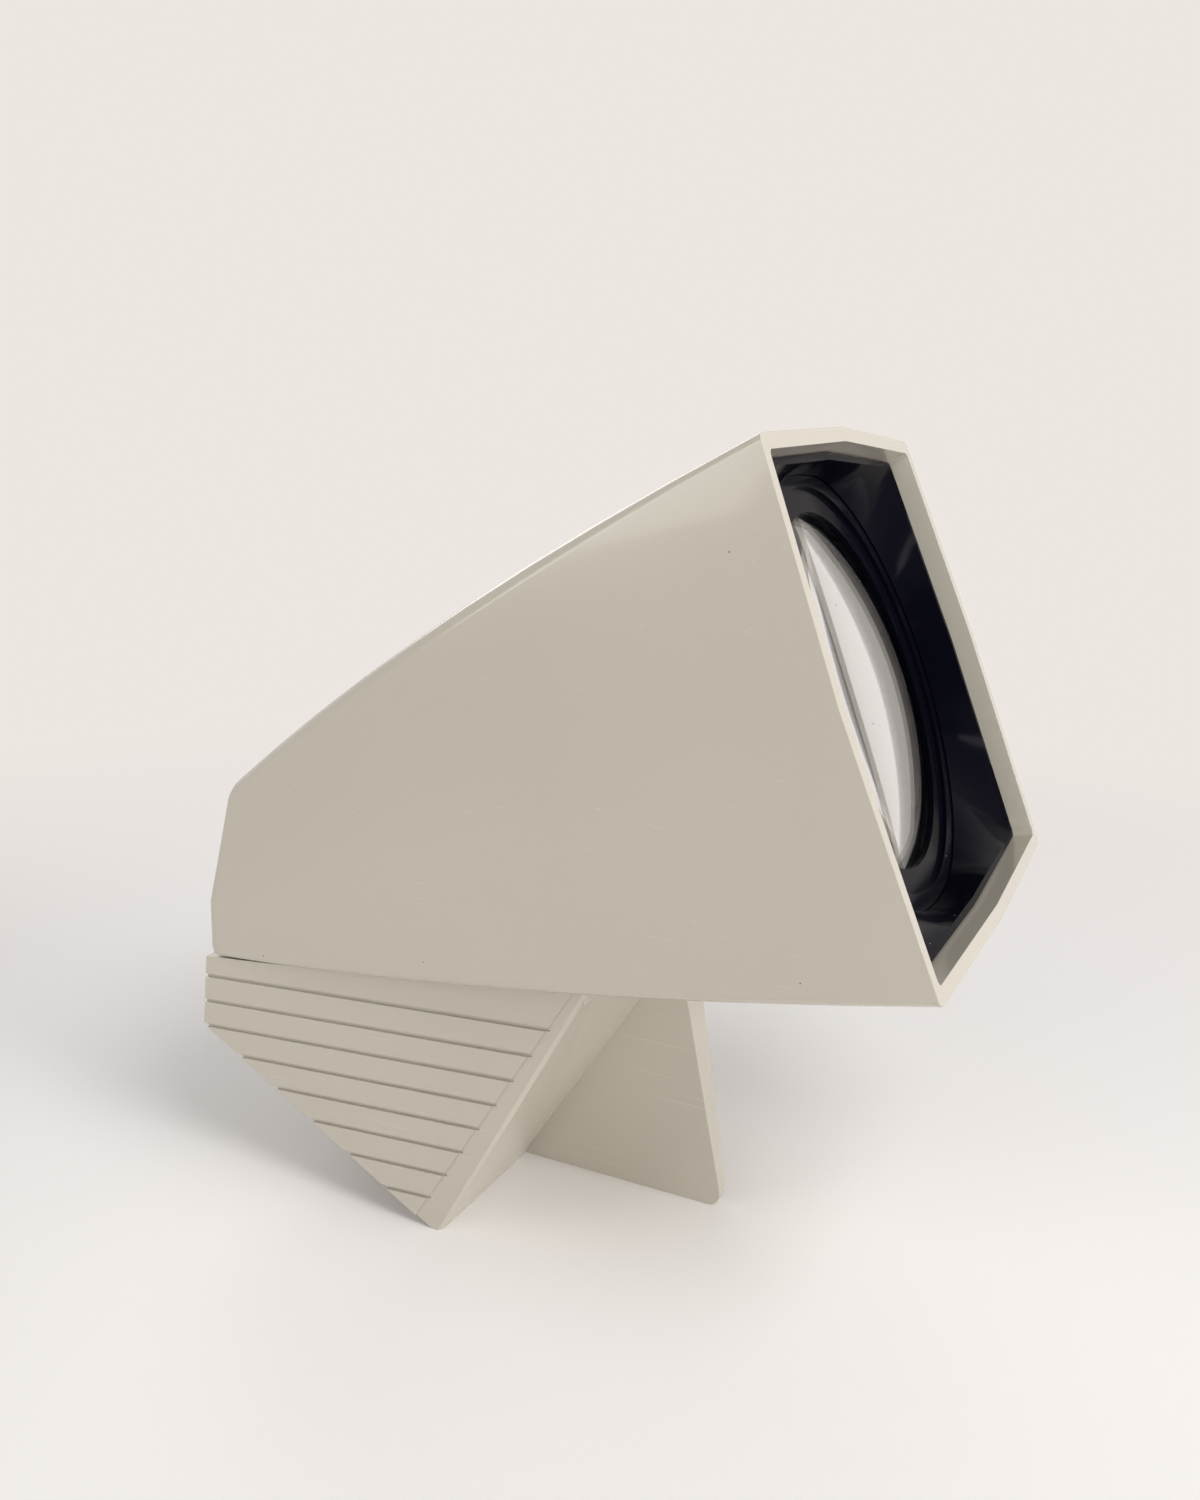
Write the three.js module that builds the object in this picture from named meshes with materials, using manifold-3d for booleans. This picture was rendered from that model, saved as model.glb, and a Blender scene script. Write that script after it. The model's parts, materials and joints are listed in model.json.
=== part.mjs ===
// Tabletop slide viewer: a faceted, tapering hood with a tilted viewing mouth stands on a wedge-shaped
// base with grooved sides and a keel in front. A mounted slide drops into a slot on top of the hood,
// stands in a gate between the lens and a small lamp, and is pressed down against a sprung lifter,
// which closes the switch. Two cells lie across the base, behind a door that slides off its slanted back.
//
// Millimetres. X points forward, towards the lens, Y across and Z up. The outline is drawn with x = 0 at
// the foot of the base, and the finished group is moved so that its origin is under its middle.

import * as THREE from 'three';
import { mergeVertices } from 'three/addons/utils/BufferGeometryUtils.js';
import Module from 'manifold-3d';

const wasm = await Module();
wasm.setup();

// Fits that every piece shares
const gap = 0.3;
const overrun = 12;

// Hood, outer sizes
const axisX = 87.19;
const axisZ = 130.84;
const mouthTilt = 22.3;
const mouthHeight = 98.8;
const axisShare = 0.53644;
const creaseDrop = 1.4;
const mouthBottomHalf = 53.9;
const mouthCreaseHalf = 55.6;
const mouthTopHalf = 50.3;
const mouthTopRise = 2.3;
const mouthBottomRise = 1.6;
const rearX = -63.9;
const rearZ = 52.9;
const rearHeight = 39.8;
const rearLean = 5.6;
const rearCreaseHeight = 13.6;
const rearBottomHalf = 40.2;
const rearCreaseHalf = 41.3;
const rearTopHalf = 35.5;
const rearTopRise = 1.8;
const rearBottomRise = 0.4;
const bottomBendZ = 60.5;
const topBendX = -3.2;
const topBendZ = 137.4;
const hoodWall = 3;
const hoodCorner = 4.5;
const mouthCorner = 2;
const rearBottomCorner = 1.2;
const insideCorner = 1.5;
const hoodRearRound = 4;

// Where the mouth's lower edge and crease lie, from the optical axis
const degrees = Math.PI / 180;
const axisHeight = mouthHeight * axisShare;
const mouthX = axisX + axisHeight * Math.sin(mouthTilt * degrees);
const mouthZ = axisZ - axisHeight * Math.cos(mouthTilt * degrees);
const mouthCreaseHeight = axisHeight - creaseDrop;

// Opening under the hood, and the bosses that the base is screwed to
const hatchRearX = -58.8;
const hatchFrontX = 26;
const hatchHalf = 36;
const hatchRise = 4;
const screwX = -57.4;
const screwY = 24;
const bossRadius = 3.2;
const hoodBossTopZ = 67;

// Slide slot and thumb notch in the top of the hood
const slideSize = 50;
const slotWidth = 53;
const slotThickness = 9;
const thumbRadius = 11;
const thumbFloor = 24;

// Pieces at the mouth
const rimDepth = 4.2;
const linerWall = 1.5;
const linerDepth = 6.6;
const lensDrop = 2.5;
const bezelMargin = 3.8;
const bezelRadius = (mouthHeight - bezelMargin) / 2;
const bezelStep = 5;
const bezelLip = 5.2;
const bezelThickness = 1.2;
const openRadius = bezelRadius - bezelStep - bezelLip;
const lensFlange = 2.7;
const lensRadius = openRadius + lensFlange;
const lensEdge = 8;
const lensFrontRadius = 112;
const retainerThickness = 2;
const retainerDepth = 5;

// Slide gate, in distances behind the mouth plane
const gateDepth = 120;
const gatePlate = 2;
const slideSpace = 4.2;
const windowSize = 38;
const gateBottom = 27;
const gateTop = 21;
const channelWidth = 3;
const springStripWidth = 4;
const springStripThickness = 0.4;
const springStripBow = 1.1;
const springStripLength = 34;
const diffuserSize = 44;
const diffuserThickness = 1.5;
const gateScrewY = 33;
const gateScrewUp = 4;
const leafReach = 8;

// Slide lifter and its spring
const lifterTravel = 6;
const lifterThickness = 2.4;
const lifterWidth = 42;
const lifterDrop = 11;
const lifterFootWidth = 30;
const lifterFootLength = 9;
const lifterFootThickness = 2;
const lifterSpringLength = 13.4;
const lifterSpringRadius = 3;
const springWire = 0.7;
const springTurns = 6;
const springSeat = 2.6;

// Lamp, reflector and their holder
const lampSetback = 19;
const bulbRadius = 5.6;
const bulbNeck = 3.4;
const capRadius = 4.8;
const capLength = 9.5;
const reflectorDepth = 24;
const reflectorHalfHeight = 19;
const reflectorHalfWidth = 22;
const reflectorSheet = 0.8;
const holderSize = 14;
const holderLeg = 8;
const holderFoot = 2;
const holderFootWidth = 16;
const stripThickness = 0.4;
const stripWidth = 6;

// Base outline
const baseHalf = 40;
const baseWall = 3;
const sideWall = 2.6;
const apexDrop = 1;
const frontSlope = 60.6;
const backSlope = 28.8;
const baseFrontTopZ = 64;
const frontRidge = 7.5;
const flangeRound = 2;
const bandDepth = 0.35;
const bandSetback = 0.8;
const pocketFloor = 5.5;
const grooveCount = 8;
const grooveTopDrop = 5.6;
const groovePitch = 6.35;
const grooveSlope = 4.2;
const grooveWidth = 0.9;
const grooveDepth = 0.7;
const grooveEndX = 27.3;
const grooveEndPitch = 4.19;

// Keel in front of the base
const keelFootX = 52.5;
const keelLean = 10.6;
const keelFootThickness = 3;
const keelTopThickness = 10.5;
const keelCorner = 4;

// Battery bay, partitions, shelf and beam inside the base
const bayMargin = 9;
const bayHalf = baseHalf - bayMargin;
const partition = 2;
const shelfZ = 38.2;
const shelfThickness = 2;
const shelfRearX = -22;
const bayDoorTopX = -58;
const bayDoorFootX = -12;
const beamRearX = -46;
const beamFrontX = -30;
const beamThickness = 1.5;
const deckRearX = 23.8;
const deckThickness = 2;
const lipThickness = 1.7;
const lipHeight = 3;
const lipMargin = 6;
const lipHalf = hatchHalf - lipMargin;

// Cells and contacts
const cellRadius = 13.1;
const cellEndRoom = 6;
const cellLength = 2 * (bayHalf - cellEndRoom);
const cellNubRadius = 3.3;
const cellNubLength = 1.6;
const cellChamferShare = 16;
const rearCellX = -39.6;
const rearCellZ = 39.2;
const frontCellX = -8.6;
const frontCellZ = 24.1;
const contactThickness = 0.5;
const contactSize = 17;
const cellSpringRadius = 5;

// Battery door
const doorMargin = 5.3;
const doorHalf = baseHalf - doorMargin;
const doorThickness = 2.2;
const doorStart = 11.8;
const doorEnd = 73.4;
const tongueReach = 1.5;
const tongueThickness = 0.8;
const gripCount = 5;
const gripPitch = 2.4;
const gripHeight = 0.8;
const gripWidth = 1.2;
const gripHalf = 14;
const gripStart = 56;

// Screws
const screwRadius = 1.5;
const screwHeadRadius = 2.6;
const screwHeadHeight = 1.8;
const baseScrewLength = 17;
const baseScrewHeadZ = 43;
const gateScrewRadius = 1.1;
const gateScrewHeadRadius = 2.2;
const gateScrewHeadHeight = 1.4;

// Facets
const cornerSteps = 4;
const hoodSteps = 9;
const roundSteps = 4;
const outlineSteps = 40;
const lensRings = 5;
const barrelSides = 32;
const smallSides = 16;
const wireSides = 5;
const turnSteps = 8;

// Materials
function finish(color, roughness, metalness = 0) {
  return new THREE.MeshStandardMaterial({ color, roughness, metalness });
}

const shellPlastic = finish(0xbdb4a3, 0.32);
const blackPlastic = finish(0x0b0b10, 0.2);
const mattBlack = finish(0x17171a, 0.6);
const clearLens = finish(0xe6ecec, 0.03);
const opalPlastic = finish(0xf2f0e8, 0.5);
const springSteel = finish(0xb9bcc0, 0.3, 1);
const zincSteel = finish(0x9fa3a8, 0.4, 1);
const brass = finish(0xc9a25a, 0.3, 1);
const reflectorSheetMetal = finish(0xd8dadd, 0.2, 1);
const bulbGlass = finish(0xf4f4ee, 0.05);
const cellWrap = finish(0x4a5560, 0.45);

// Solids from closed meshes, and closed meshes from solids
function solid(geometry) {
  const bare = geometry.clone();
  bare.deleteAttribute('normal');
  bare.deleteAttribute('uv');
  const merged = mergeVertices(bare);
  return new wasm.Manifold(new wasm.Mesh({
    numProp: 3,
    vertProperties: new Float32Array(merged.attributes.position.array),
    triVerts: new Uint32Array(merged.index.array),
  }));
}

function meshed(manifold) {
  const mesh = manifold.getMesh();
  const geometry = new THREE.BufferGeometry();
  geometry.setAttribute('position', new THREE.BufferAttribute(new Float32Array(mesh.vertProperties), 3));
  geometry.setIndex(new THREE.BufferAttribute(new Uint32Array(mesh.triVerts), 1));
  geometry.computeVertexNormals();
  return geometry;
}

function cut(body, ...tools) {
  return tools.reduce((rest, tool) => rest.subtract(tool), body);
}

function join(first, ...others) {
  return others.reduce((whole, other) => whole.add(other), first);
}

// Basic forms
function block(x0, x1, y0, y1, z0, z1) {
  const geometry = new THREE.BoxGeometry(x1 - x0, y1 - y0, z1 - z0);
  return solid(geometry.translate((x0 + x1) / 2, (y0 + y1) / 2, (z0 + z1) / 2));
}

// A side outline, given as [x, z] points, drawn out across Y
function sidePrism(outline, y0, y1) {
  const shape = new THREE.Shape(outline.map(([x, z]) => new THREE.Vector2(x, z)));
  const geometry = new THREE.ExtrudeGeometry(shape, { depth: y1 - y0, bevelEnabled: false });
  return solid(geometry.rotateX(Math.PI / 2).translate(0, y1, 0));
}

// A front outline in Y and Z, drawn out along X
function frontPrism(shape, x0, x1, curveSegments = cornerSteps) {
  const geometry = new THREE.ExtrudeGeometry(shape, { depth: x1 - x0, bevelEnabled: false, curveSegments });
  const turn = new THREE.Matrix4().makeBasis(
    new THREE.Vector3(0, 1, 0), new THREE.Vector3(0, 0, 1), new THREE.Vector3(1, 0, 0));
  return solid(geometry.applyMatrix4(turn).translate(x0, 0, 0));
}

function rodAlongX(radius, x0, x1, y, z, sides = smallSides) {
  const geometry = new THREE.CylinderGeometry(radius, radius, x1 - x0, sides);
  return solid(geometry.rotateZ(Math.PI / 2).translate((x0 + x1) / 2, y, z));
}

function rodAlongZ(radius, x, y, z0, z1, sides = smallSides) {
  const geometry = new THREE.CylinderGeometry(radius, radius, z1 - z0, sides);
  return solid(geometry.rotateX(Math.PI / 2).translate(x, y, (z0 + z1) / 2));
}

// A profile of [radius, height] points turned about Y, then moved
function turned(profile, x, y, z, sides = smallSides) {
  const points = profile.map(([radius, height]) => new THREE.Vector2(radius, height));
  return solid(new THREE.LatheGeometry(points, sides).translate(x, y, z));
}

// Rings of points, in order, joined into one closed body
function loft(rings) {
  const count = rings[0].length;
  const points = rings.flat();
  const index = [];
  for (let ring = 0; ring < rings.length - 1; ring += 1) {
    for (let point = 0; point < count; point += 1) {
      const next = (point + 1) % count;
      const a = ring * count + point;
      const b = ring * count + next;
      index.push(a, b, b + count, a, b + count, a + count);
    }
  }
  for (const [ring, reversed] of [[0, true], [rings.length - 1, false]]) {
    const middle = new THREE.Vector3();
    rings[ring].forEach((point) => middle.add(point));
    const hub = points.push(middle.divideScalar(count)) - 1;
    for (let point = 0; point < count; point += 1) {
      const a = ring * count + point;
      const b = ring * count + (point + 1) % count;
      index.push(hub, reversed ? b : a, reversed ? a : b);
    }
  }
  const geometry = new THREE.BufferGeometry();
  geometry.setAttribute('position', new THREE.Float32BufferAttribute(points.flatMap((p) => p.toArray()), 3));
  geometry.setIndex(index);
  return solid(facingOut(geometry));
}

function facingOut(geometry) {
  const { array } = geometry.attributes.position;
  const index = geometry.index.array;
  const corner = (slot) => new THREE.Vector3().fromArray(array, 3 * index[slot]);
  let volume = 0;
  for (let slot = 0; slot < index.length; slot += 3) {
    volume += corner(slot).dot(corner(slot + 1).cross(corner(slot + 2)));
  }
  if (volume < 0) {
    geometry.setIndex(Array.from(index).reverse());
  }
  return geometry;
}

// A closed polygon of [across, up] points, moved inwards by one distance all round
function inset(corners, distance) {
  const count = corners.length;
  const edges = corners.map((corner, slot) => {
    const along = corners[(slot + 1) % count].clone().sub(corner).normalize();
    const inward = new THREE.Vector2(-along.y, along.x);
    return { point: corner.clone().addScaledVector(inward, distance), along };
  });
  return edges.map((edge, slot) => crossing(edges[(slot + count - 1) % count], edge));
}

function crossing(first, second) {
  const apart = second.point.clone().sub(first.point);
  const reach = apart.cross(second.along) / first.along.cross(second.along);
  return first.point.clone().addScaledVector(first.along, reach);
}

// One corner of a polygon replaced by an arc that touches both of its sides
function rounded(before, corner, after, radius) {
  const back = before.clone().sub(corner).normalize();
  const ahead = after.clone().sub(corner).normalize();
  const halfAngle = Math.acos(back.dot(ahead)) / 2;
  const middle = back.clone().add(ahead).normalize();
  const centre = corner.clone().addScaledVector(middle, radius / Math.sin(halfAngle));
  const start = corner.clone().addScaledVector(back, radius / Math.tan(halfAngle)).sub(centre);
  const sweep = Math.PI - 2 * halfAngle;
  return Array.from({ length: cornerSteps + 1 }, (_, step) =>
    start.clone().rotateAround(new THREE.Vector2(), sweep * step / cornerSteps).add(centre));
}

// Hood: rails in side view, and the section that stands on them
function mix(share, from, to) {
  return from + (to - from) * share;
}

function bent(share, from, middle, to) {
  return mix(share, mix(share, from, middle), mix(share, middle, to));
}

function sidePoint(x, z, lean, height) {
  return new THREE.Vector2(x + height * Math.sin(lean * degrees), z + height * Math.cos(lean * degrees));
}

const rearFoot = new THREE.Vector2(rearX, rearZ);
const rearCrown = sidePoint(rearX, rearZ, rearLean, rearHeight);
const rearCrease = sidePoint(rearX, rearZ, rearLean, rearCreaseHeight);
const mouthFoot = new THREE.Vector2(mouthX, mouthZ);
const mouthCrown = sidePoint(mouthX, mouthZ, -mouthTilt, mouthHeight);
const mouthCrease = sidePoint(mouthX, mouthZ, -mouthTilt, mouthCreaseHeight);
const bottomBend = new THREE.Vector2((rearX + mouthX) / 2, bottomBendZ);
const topBend = new THREE.Vector2(topBendX, topBendZ);

function onRail(share, from, middle, to) {
  return new THREE.Vector2(bent(share, from.x, middle.x, to.x), bent(share, from.y, middle.y, to.y));
}

function hoodRing(share, inward, cornerAt, forward = 0) {
  const foot = onRail(share, rearFoot, bottomBend, mouthFoot);
  const crown = onRail(share, rearCrown, topBend, mouthCrown);
  const up = crown.clone().sub(foot);
  const height = up.length();
  up.normalize();
  const crease = crossing(
    { point: foot, along: up },
    { point: rearCrease, along: mouthCrease.clone().sub(rearCrease).normalize() });
  const bottomHalf = mix(share, rearBottomHalf, mouthBottomHalf);
  const creaseHalf = mix(share, rearCreaseHalf, mouthCreaseHalf);
  const topHalf = mix(share, rearTopHalf, mouthTopHalf);
  const creaseHeight = crease.distanceTo(foot);
  const corners = inset([
    new THREE.Vector2(0, -mix(share, rearBottomRise, mouthBottomRise)),
    new THREE.Vector2(bottomHalf, 0),
    new THREE.Vector2(creaseHalf, creaseHeight),
    new THREE.Vector2(topHalf, height),
    new THREE.Vector2(0, height + mix(share, rearTopRise, mouthTopRise)),
    new THREE.Vector2(-topHalf, height),
    new THREE.Vector2(-creaseHalf, creaseHeight),
    new THREE.Vector2(-bottomHalf, 0),
  ], inward);
  const count = corners.length;
  const section = corners.flatMap((corner, slot) => {
    const isRound = slot === 1 || slot === 3 || slot === 5 || slot === 7;
    const before = corners[(slot + count - 1) % count];
    const isLow = slot === 1 || slot === 7;
    const radius = cornerAt(share, isLow);
    return isRound ? rounded(before, corner, corners[(slot + 1) % count], radius) : [corner];
  });
  const ahead = new THREE.Vector2(up.y, -up.x).multiplyScalar(forward);
  return section.map(({ x: across, y: rise }) => new THREE.Vector3(
    foot.x + up.x * rise + ahead.x, across, foot.y + up.y * rise + ahead.y));
}

const hoodLength = mouthX - rearX;

// The corners outside are crisp at the mouth and softest halfway along
function outerCorner(share, isLow) {
  return bent(share, isLow ? rearBottomCorner : hoodCorner, hoodCorner, mouthCorner);
}

function innerCorner(share, isLow) {
  return isLow ? Math.min(insideCorner, outerCorner(share, isLow)) : insideCorner;
}

function hoodOuter() {
  const rings = [];
  for (let step = 0; step <= roundSteps; step += 1) {
    const turn = Math.PI / 2 * step / roundSteps;
    const setback = hoodRearRound * (1 - Math.cos(turn));
    const inward = hoodRearRound * (1 - Math.sin(turn));
    rings.push(hoodRing(setback / hoodLength, inward, outerCorner));
  }
  const start = hoodRearRound / hoodLength;
  for (let step = 1; step <= hoodSteps; step += 1) {
    rings.push(hoodRing(mix(step / hoodSteps, start, 1), 0, outerCorner));
  }
  return loft(rings);
}

// The space inside the hood, less a clearance, past the mouth
function hoodInner(clearance) {
  const inward = hoodWall + clearance;
  const start = inward / hoodLength;
  const rings = [];
  for (let step = 0; step <= hoodSteps; step += 1) {
    rings.push(hoodRing(mix(step / hoodSteps, start, 1), inward, innerCorner));
  }
  rings.push(hoodRing(1, inward, innerCorner, overrun));
  return loft(rings);
}

// Underside of the hood, where the base meets it
function hoodUndersideZ(x, y = 0) {
  const share = (x - rearX) / hoodLength;
  const rise = mix(share, rearBottomRise, mouthBottomRise);
  const across = Math.abs(y) / mix(share, rearBottomHalf, mouthBottomHalf);
  return bent(share, rearZ, bottomBendZ, mouthZ) - rise * (1 - across);
}

// Optics frame: X along the optical axis from the mouth plane outwards, Z up along the mouth plane
const axisPoint = sidePoint(mouthX, mouthZ, -mouthTilt, axisHeight);
const optics = new THREE.Group();
optics.position.set(axisPoint.x, 0, axisPoint.y);
optics.rotation.y = -mouthTilt * degrees;
optics.updateMatrix();
const opticsInverse = optics.matrix.clone().invert();

function moved(manifold, matrix) {
  return solid(meshed(manifold).applyMatrix4(matrix));
}

const inOptics = (manifold) => moved(manifold, opticsInverse);
const inViewer = (manifold) => moved(manifold, optics.matrix);

const viewer = new THREE.Group();
viewer.add(optics);

function piece(name, manifold, material, parent = viewer) {
  const mesh = new THREE.Mesh(meshed(manifold), material);
  mesh.name = name;
  parent.add(mesh);
}

// Distances along the optical axis, negative behind the mouth plane
const linerFront = -rimDepth;
const linerBack = linerFront - linerDepth;
const bezelBack = linerBack - bezelThickness;
const innerBezelBack = bezelBack - bezelThickness;
const lensFront = innerBezelBack - gap;
const lensBack = lensFront - lensEdge;
const gateFace = -gateDepth;
const gateFront = gateFace + gatePlate;
const backplateFront = gateFace - slideSpace - gap;
const backplateBack = backplateFront - gatePlate;
const slidePlane = gateFace - slideSpace / 2;
const diffuserFront = backplateBack - gap;
const diffuserBack = diffuserFront - diffuserThickness;
const lampAxis = backplateBack - lampSetback;

// Points of a closed outline, each one once
function outlinePoints(shape) {
  const points = shape.getPoints(outlineSteps);
  const least = gap / 10;
  return points.filter((point, slot) => slot === 0
    || (point.distanceTo(points[0]) > least && point.distanceTo(points[slot - 1]) > least));
}

function framePrism(outer, inner, x0, x1) {
  return cut(
    frontPrism(outer, x0, x1, outlineSteps),
    frontPrism(inner, x0 - overrun, x1 + overrun, outlineSteps));
}

function rectangle(width, height, middleZ = 0) {
  return new THREE.Shape([
    new THREE.Vector2(-width / 2, middleZ - height / 2),
    new THREE.Vector2(width / 2, middleZ - height / 2),
    new THREE.Vector2(width / 2, middleZ + height / 2),
    new THREE.Vector2(-width / 2, middleZ + height / 2),
  ]);
}

// Distance from the axis to a convex outline in one direction
function reach(outline, direction) {
  let nearest = Infinity;
  outline.forEach((corner, slot) => {
    const next = outline[(slot + 1) % outline.length];
    const side = next.clone().sub(corner);
    const scale = corner.cross(side) / direction.cross(side);
    const along = corner.cross(direction) / direction.cross(side);
    if (scale > 0 && along >= 0 && along <= 1) {
      nearest = Math.min(nearest, scale);
    }
  });
  return nearest;
}

const innerInOptics = inOptics(hoodInner(gap));
const gateScrewPlaces = [-gateScrewY, gateScrewY];

function upperShell() {
  const slot = inViewer(block(
    slidePlane - slotThickness / 2, slidePlane + slotThickness / 2, -slotWidth / 2, slotWidth / 2,
    gateTop - hoodWall, gateTop + slideSize));
  const thumbUp = thumbFloor + thumbRadius;
  const thumb = inViewer(rodAlongX(
    thumbRadius, slidePlane - slotThickness, slidePlane + slotThickness, 0, thumbUp, barrelSides));
  const hatchTop = hoodUndersideZ(hatchFrontX) + hatchRise;
  const hatch = block(hatchRearX, hatchFrontX, -hatchHalf, hatchHalf, rearZ - overrun, hatchTop);
  const shell = cut(hoodOuter(), hoodInner(0), slot, thumb, hatch);
  const bossFoot = hoodUndersideZ(screwX + bossRadius, screwY + bossRadius);
  const bosses = [-screwY, screwY].map((y) => rodAlongZ(bossRadius, screwX, y, bossFoot, hoodBossTopZ));
  const pilots = [-screwY, screwY].map((y) =>
    rodAlongZ(screwRadius + gap, screwX, y, rearZ - overrun, hoodBossTopZ - hoodWall));
  return cut(join(shell, ...bosses), ...pilots);
}

// The liner narrows from the faceted mouth to the round bezel
function hoodLiner() {
  const sideways = new THREE.Vector2(1, 0);
  const mouth = linerSection(linerFront);
  const walls = linerSection(linerBack);
  const ring = outlinePoints(disc(bezelRadius));
  const angles = [
    ...Array.from({ length: outlineSteps }, (_, step) => 2 * Math.PI * (step + 1 / 2) / outlineSteps),
    ...mouth.map((corner) => (corner.angle() + 2 * Math.PI) % (2 * Math.PI)),
  ].sort((a, b) => a - b);
  const section = (x, extra, reachOf) => angles.map((angle) => {
    const direction = sideways.clone().rotateAround(new THREE.Vector2(), angle);
    const length = reachOf(direction) + extra;
    return new THREE.Vector3(x, direction.x * length, direction.y * length);
  });
  const funnel = (extra, x0, x1) => loft([
    section(x0, extra, (direction) => reach(mouth, direction)),
    section(x1, extra, (direction) => Math.min(reach(ring, direction), reach(walls, direction))),
  ]);
  const outside = funnel(0, linerFront, linerBack);
  const slope = linerDepth / outlineSteps;
  const inside = funnel(-linerWall, linerFront + slope, linerBack - slope);
  return cut(outside, inside);
}

// Corners of the space inside the hood at one distance behind the mouth, from a thin slice of it
function linerSection(x) {
  const slab = block(x - gap / 2, x + gap / 2, -mouthHeight, mouthHeight, -mouthHeight, mouthHeight);
  const slice = innerInOptics.intersect(slab);
  const { array } = meshed(slice).attributes.position;
  const corners = [];
  for (let slot = 0; slot < array.length; slot += 3) {
    if (Math.abs(array[slot] - (x - gap / 2)) < gap / 10) {
      corners.push(new THREE.Vector2(array[slot + 1], array[slot + 2]));
    }
  }
  corners.sort((a, b) => a.angle() - b.angle());
  return corners.filter((corner, slot) => slot === 0 || corner.distanceTo(corners[slot - 1]) > gap);
}

function disc(radius) {
  return new THREE.Shape().absarc(0, -lensDrop, radius, 0, 2 * Math.PI);
}

function lensBezel() {
  const outer = disc(bezelRadius);
  return join(
    framePrism(outer, disc(bezelRadius - bezelStep), bezelBack, linerBack - gap),
    framePrism(outer, disc(openRadius), innerBezelBack, bezelBack)).intersect(innerInOptics);
}

// Flat behind and domed inside the bezel's opening, with a flat flange that the frames hold
function lens() {
  const face = openRadius - gap;
  const height = (distance) => Math.sqrt(lensFrontRadius ** 2 - distance ** 2);
  const steps = Array.from({ length: lensRings }, (_, step) => face * step / lensRings);
  const profile = [
    ...steps.map((distance) => [distance, lensFront + height(distance) - height(face)]),
    [face, lensFront],
    [lensRadius, lensFront],
    [lensRadius, lensBack],
    [0, lensBack],
  ];
  return turnedAlongX(profile, 0, -lensDrop, outlineSteps * 2);
}

function lensRetainer() {
  const front = lensBack - gap;
  const back = front - retainerDepth;
  const plate = frontPrism(rectangle(mouthHeight * 2, mouthHeight * 2), back, back + retainerThickness);
  const hole = frontPrism(disc(openRadius), back - overrun, front + overrun, outlineSteps);
  const collar = frontPrism(disc(lensRadius), back, front, outlineSteps);
  return cut(join(plate, collar).intersect(innerInOptics), hole);
}

// Slide gate: front plate with a window and the two channels that the slide's edges run in
function gatePlateWithWindow(back, window) {
  const plate = block(back, back + gatePlate, -mouthBottomHalf, mouthBottomHalf, -gateBottom, gateTop);
  const hole = block(back - overrun, back + overrun, -window / 2, window / 2, -window / 2, window / 2);
  return cut(plate.intersect(innerInOptics), hole);
}

function slideGate() {
  const plate = gatePlateWithWindow(gateFace, windowSize);
  const channelInner = (slideSize + gap * 2) / 2;
  const channels = [-1, 1].map((side) => {
    const near = side * channelInner;
    const far = side * (channelInner + channelWidth);
    return block(
      gateFace - slideSpace, gateFace, Math.min(near, far), Math.max(near, far),
      -gateBottom, gateTop - gap);
  });
  const pilots = gateScrewPlaces.map((y) =>
    rodAlongX(gateScrewRadius + gap, gateFace - overrun, gateFace + overrun, y, gateScrewUp, smallSides));
  const posts = gateScrewPlaces.map((y) =>
    rodAlongX(gateScrewHeadRadius + gap, gateFace - slideSpace, gateFace, y, gateScrewUp, smallSides));
  return cut(join(plate, ...channels, ...posts), ...pilots);
}

function slideBackplate() {
  const holes = gateScrewPlaces.map((y) =>
    rodAlongX(gateScrewRadius + gap, backplateBack - overrun, backplateFront + overrun, y, gateScrewUp));
  const plate = cut(gatePlateWithWindow(backplateBack, windowSize + gap * 2), ...holes);
  const pocketHalf = diffuserSize / 2 + gap;
  const ledge = block(
    diffuserBack - gap, backplateBack, -pocketHalf - gatePlate, pocketHalf + gatePlate,
    -pocketHalf - gatePlate, -pocketHalf);
  return join(plate, ledge);
}

function gateScrew(y) {
  const seat = backplateBack - gap;
  return turnedAlongX([
    [0, gateFront - gap],
    [gateScrewRadius, gateFront - gap],
    [gateScrewRadius, seat],
    [gateScrewHeadRadius, seat],
    [gateScrewHeadRadius, seat - gateScrewHeadHeight],
    [0, seat - gateScrewHeadHeight],
  ], y, gateScrewUp);
}

// A profile of [radius, x] points turned about an axis along X
function turnedAlongX(profile, y, z, sides = smallSides) {
  const points = profile.map(([radius, x]) => new THREE.Vector2(radius, x));
  const geometry = new THREE.LatheGeometry(points, sides);
  return solid(facingOut(mergedIndex(geometry.rotateZ(-Math.PI / 2).translate(0, y, z))));
}

function mergedIndex(geometry) {
  geometry.deleteAttribute('normal');
  geometry.deleteAttribute('uv');
  return mergeVertices(geometry);
}

// Bowed strips on the backplate that hold the slide flat against the gate
function pressureSpring(side) {
  const middle = side * (windowSize / 2 + springStripWidth / 2 + gap);
  const half = springStripLength / 2;
  const front = backplateFront + gap;
  const steps = barrelSides / 2;
  const bow = (share) => front + springStripBow * Math.sin(Math.PI * share);
  const shares = Array.from({ length: steps + 1 }, (_, step) => step / steps);
  const outline = [
    ...shares.map((share) => [bow(share), mix(share, -half, half)]),
    ...shares.map((share) => [bow(1 - share) + springStripThickness, mix(share, half, -half)]),
  ];
  return sidePrism(outline.reverse(), middle - springStripWidth / 2, middle + springStripWidth / 2);
}

function diffuser() {
  const half = diffuserSize / 2;
  return block(diffuserBack, diffuserFront, -half, half, -half, half);
}

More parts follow.
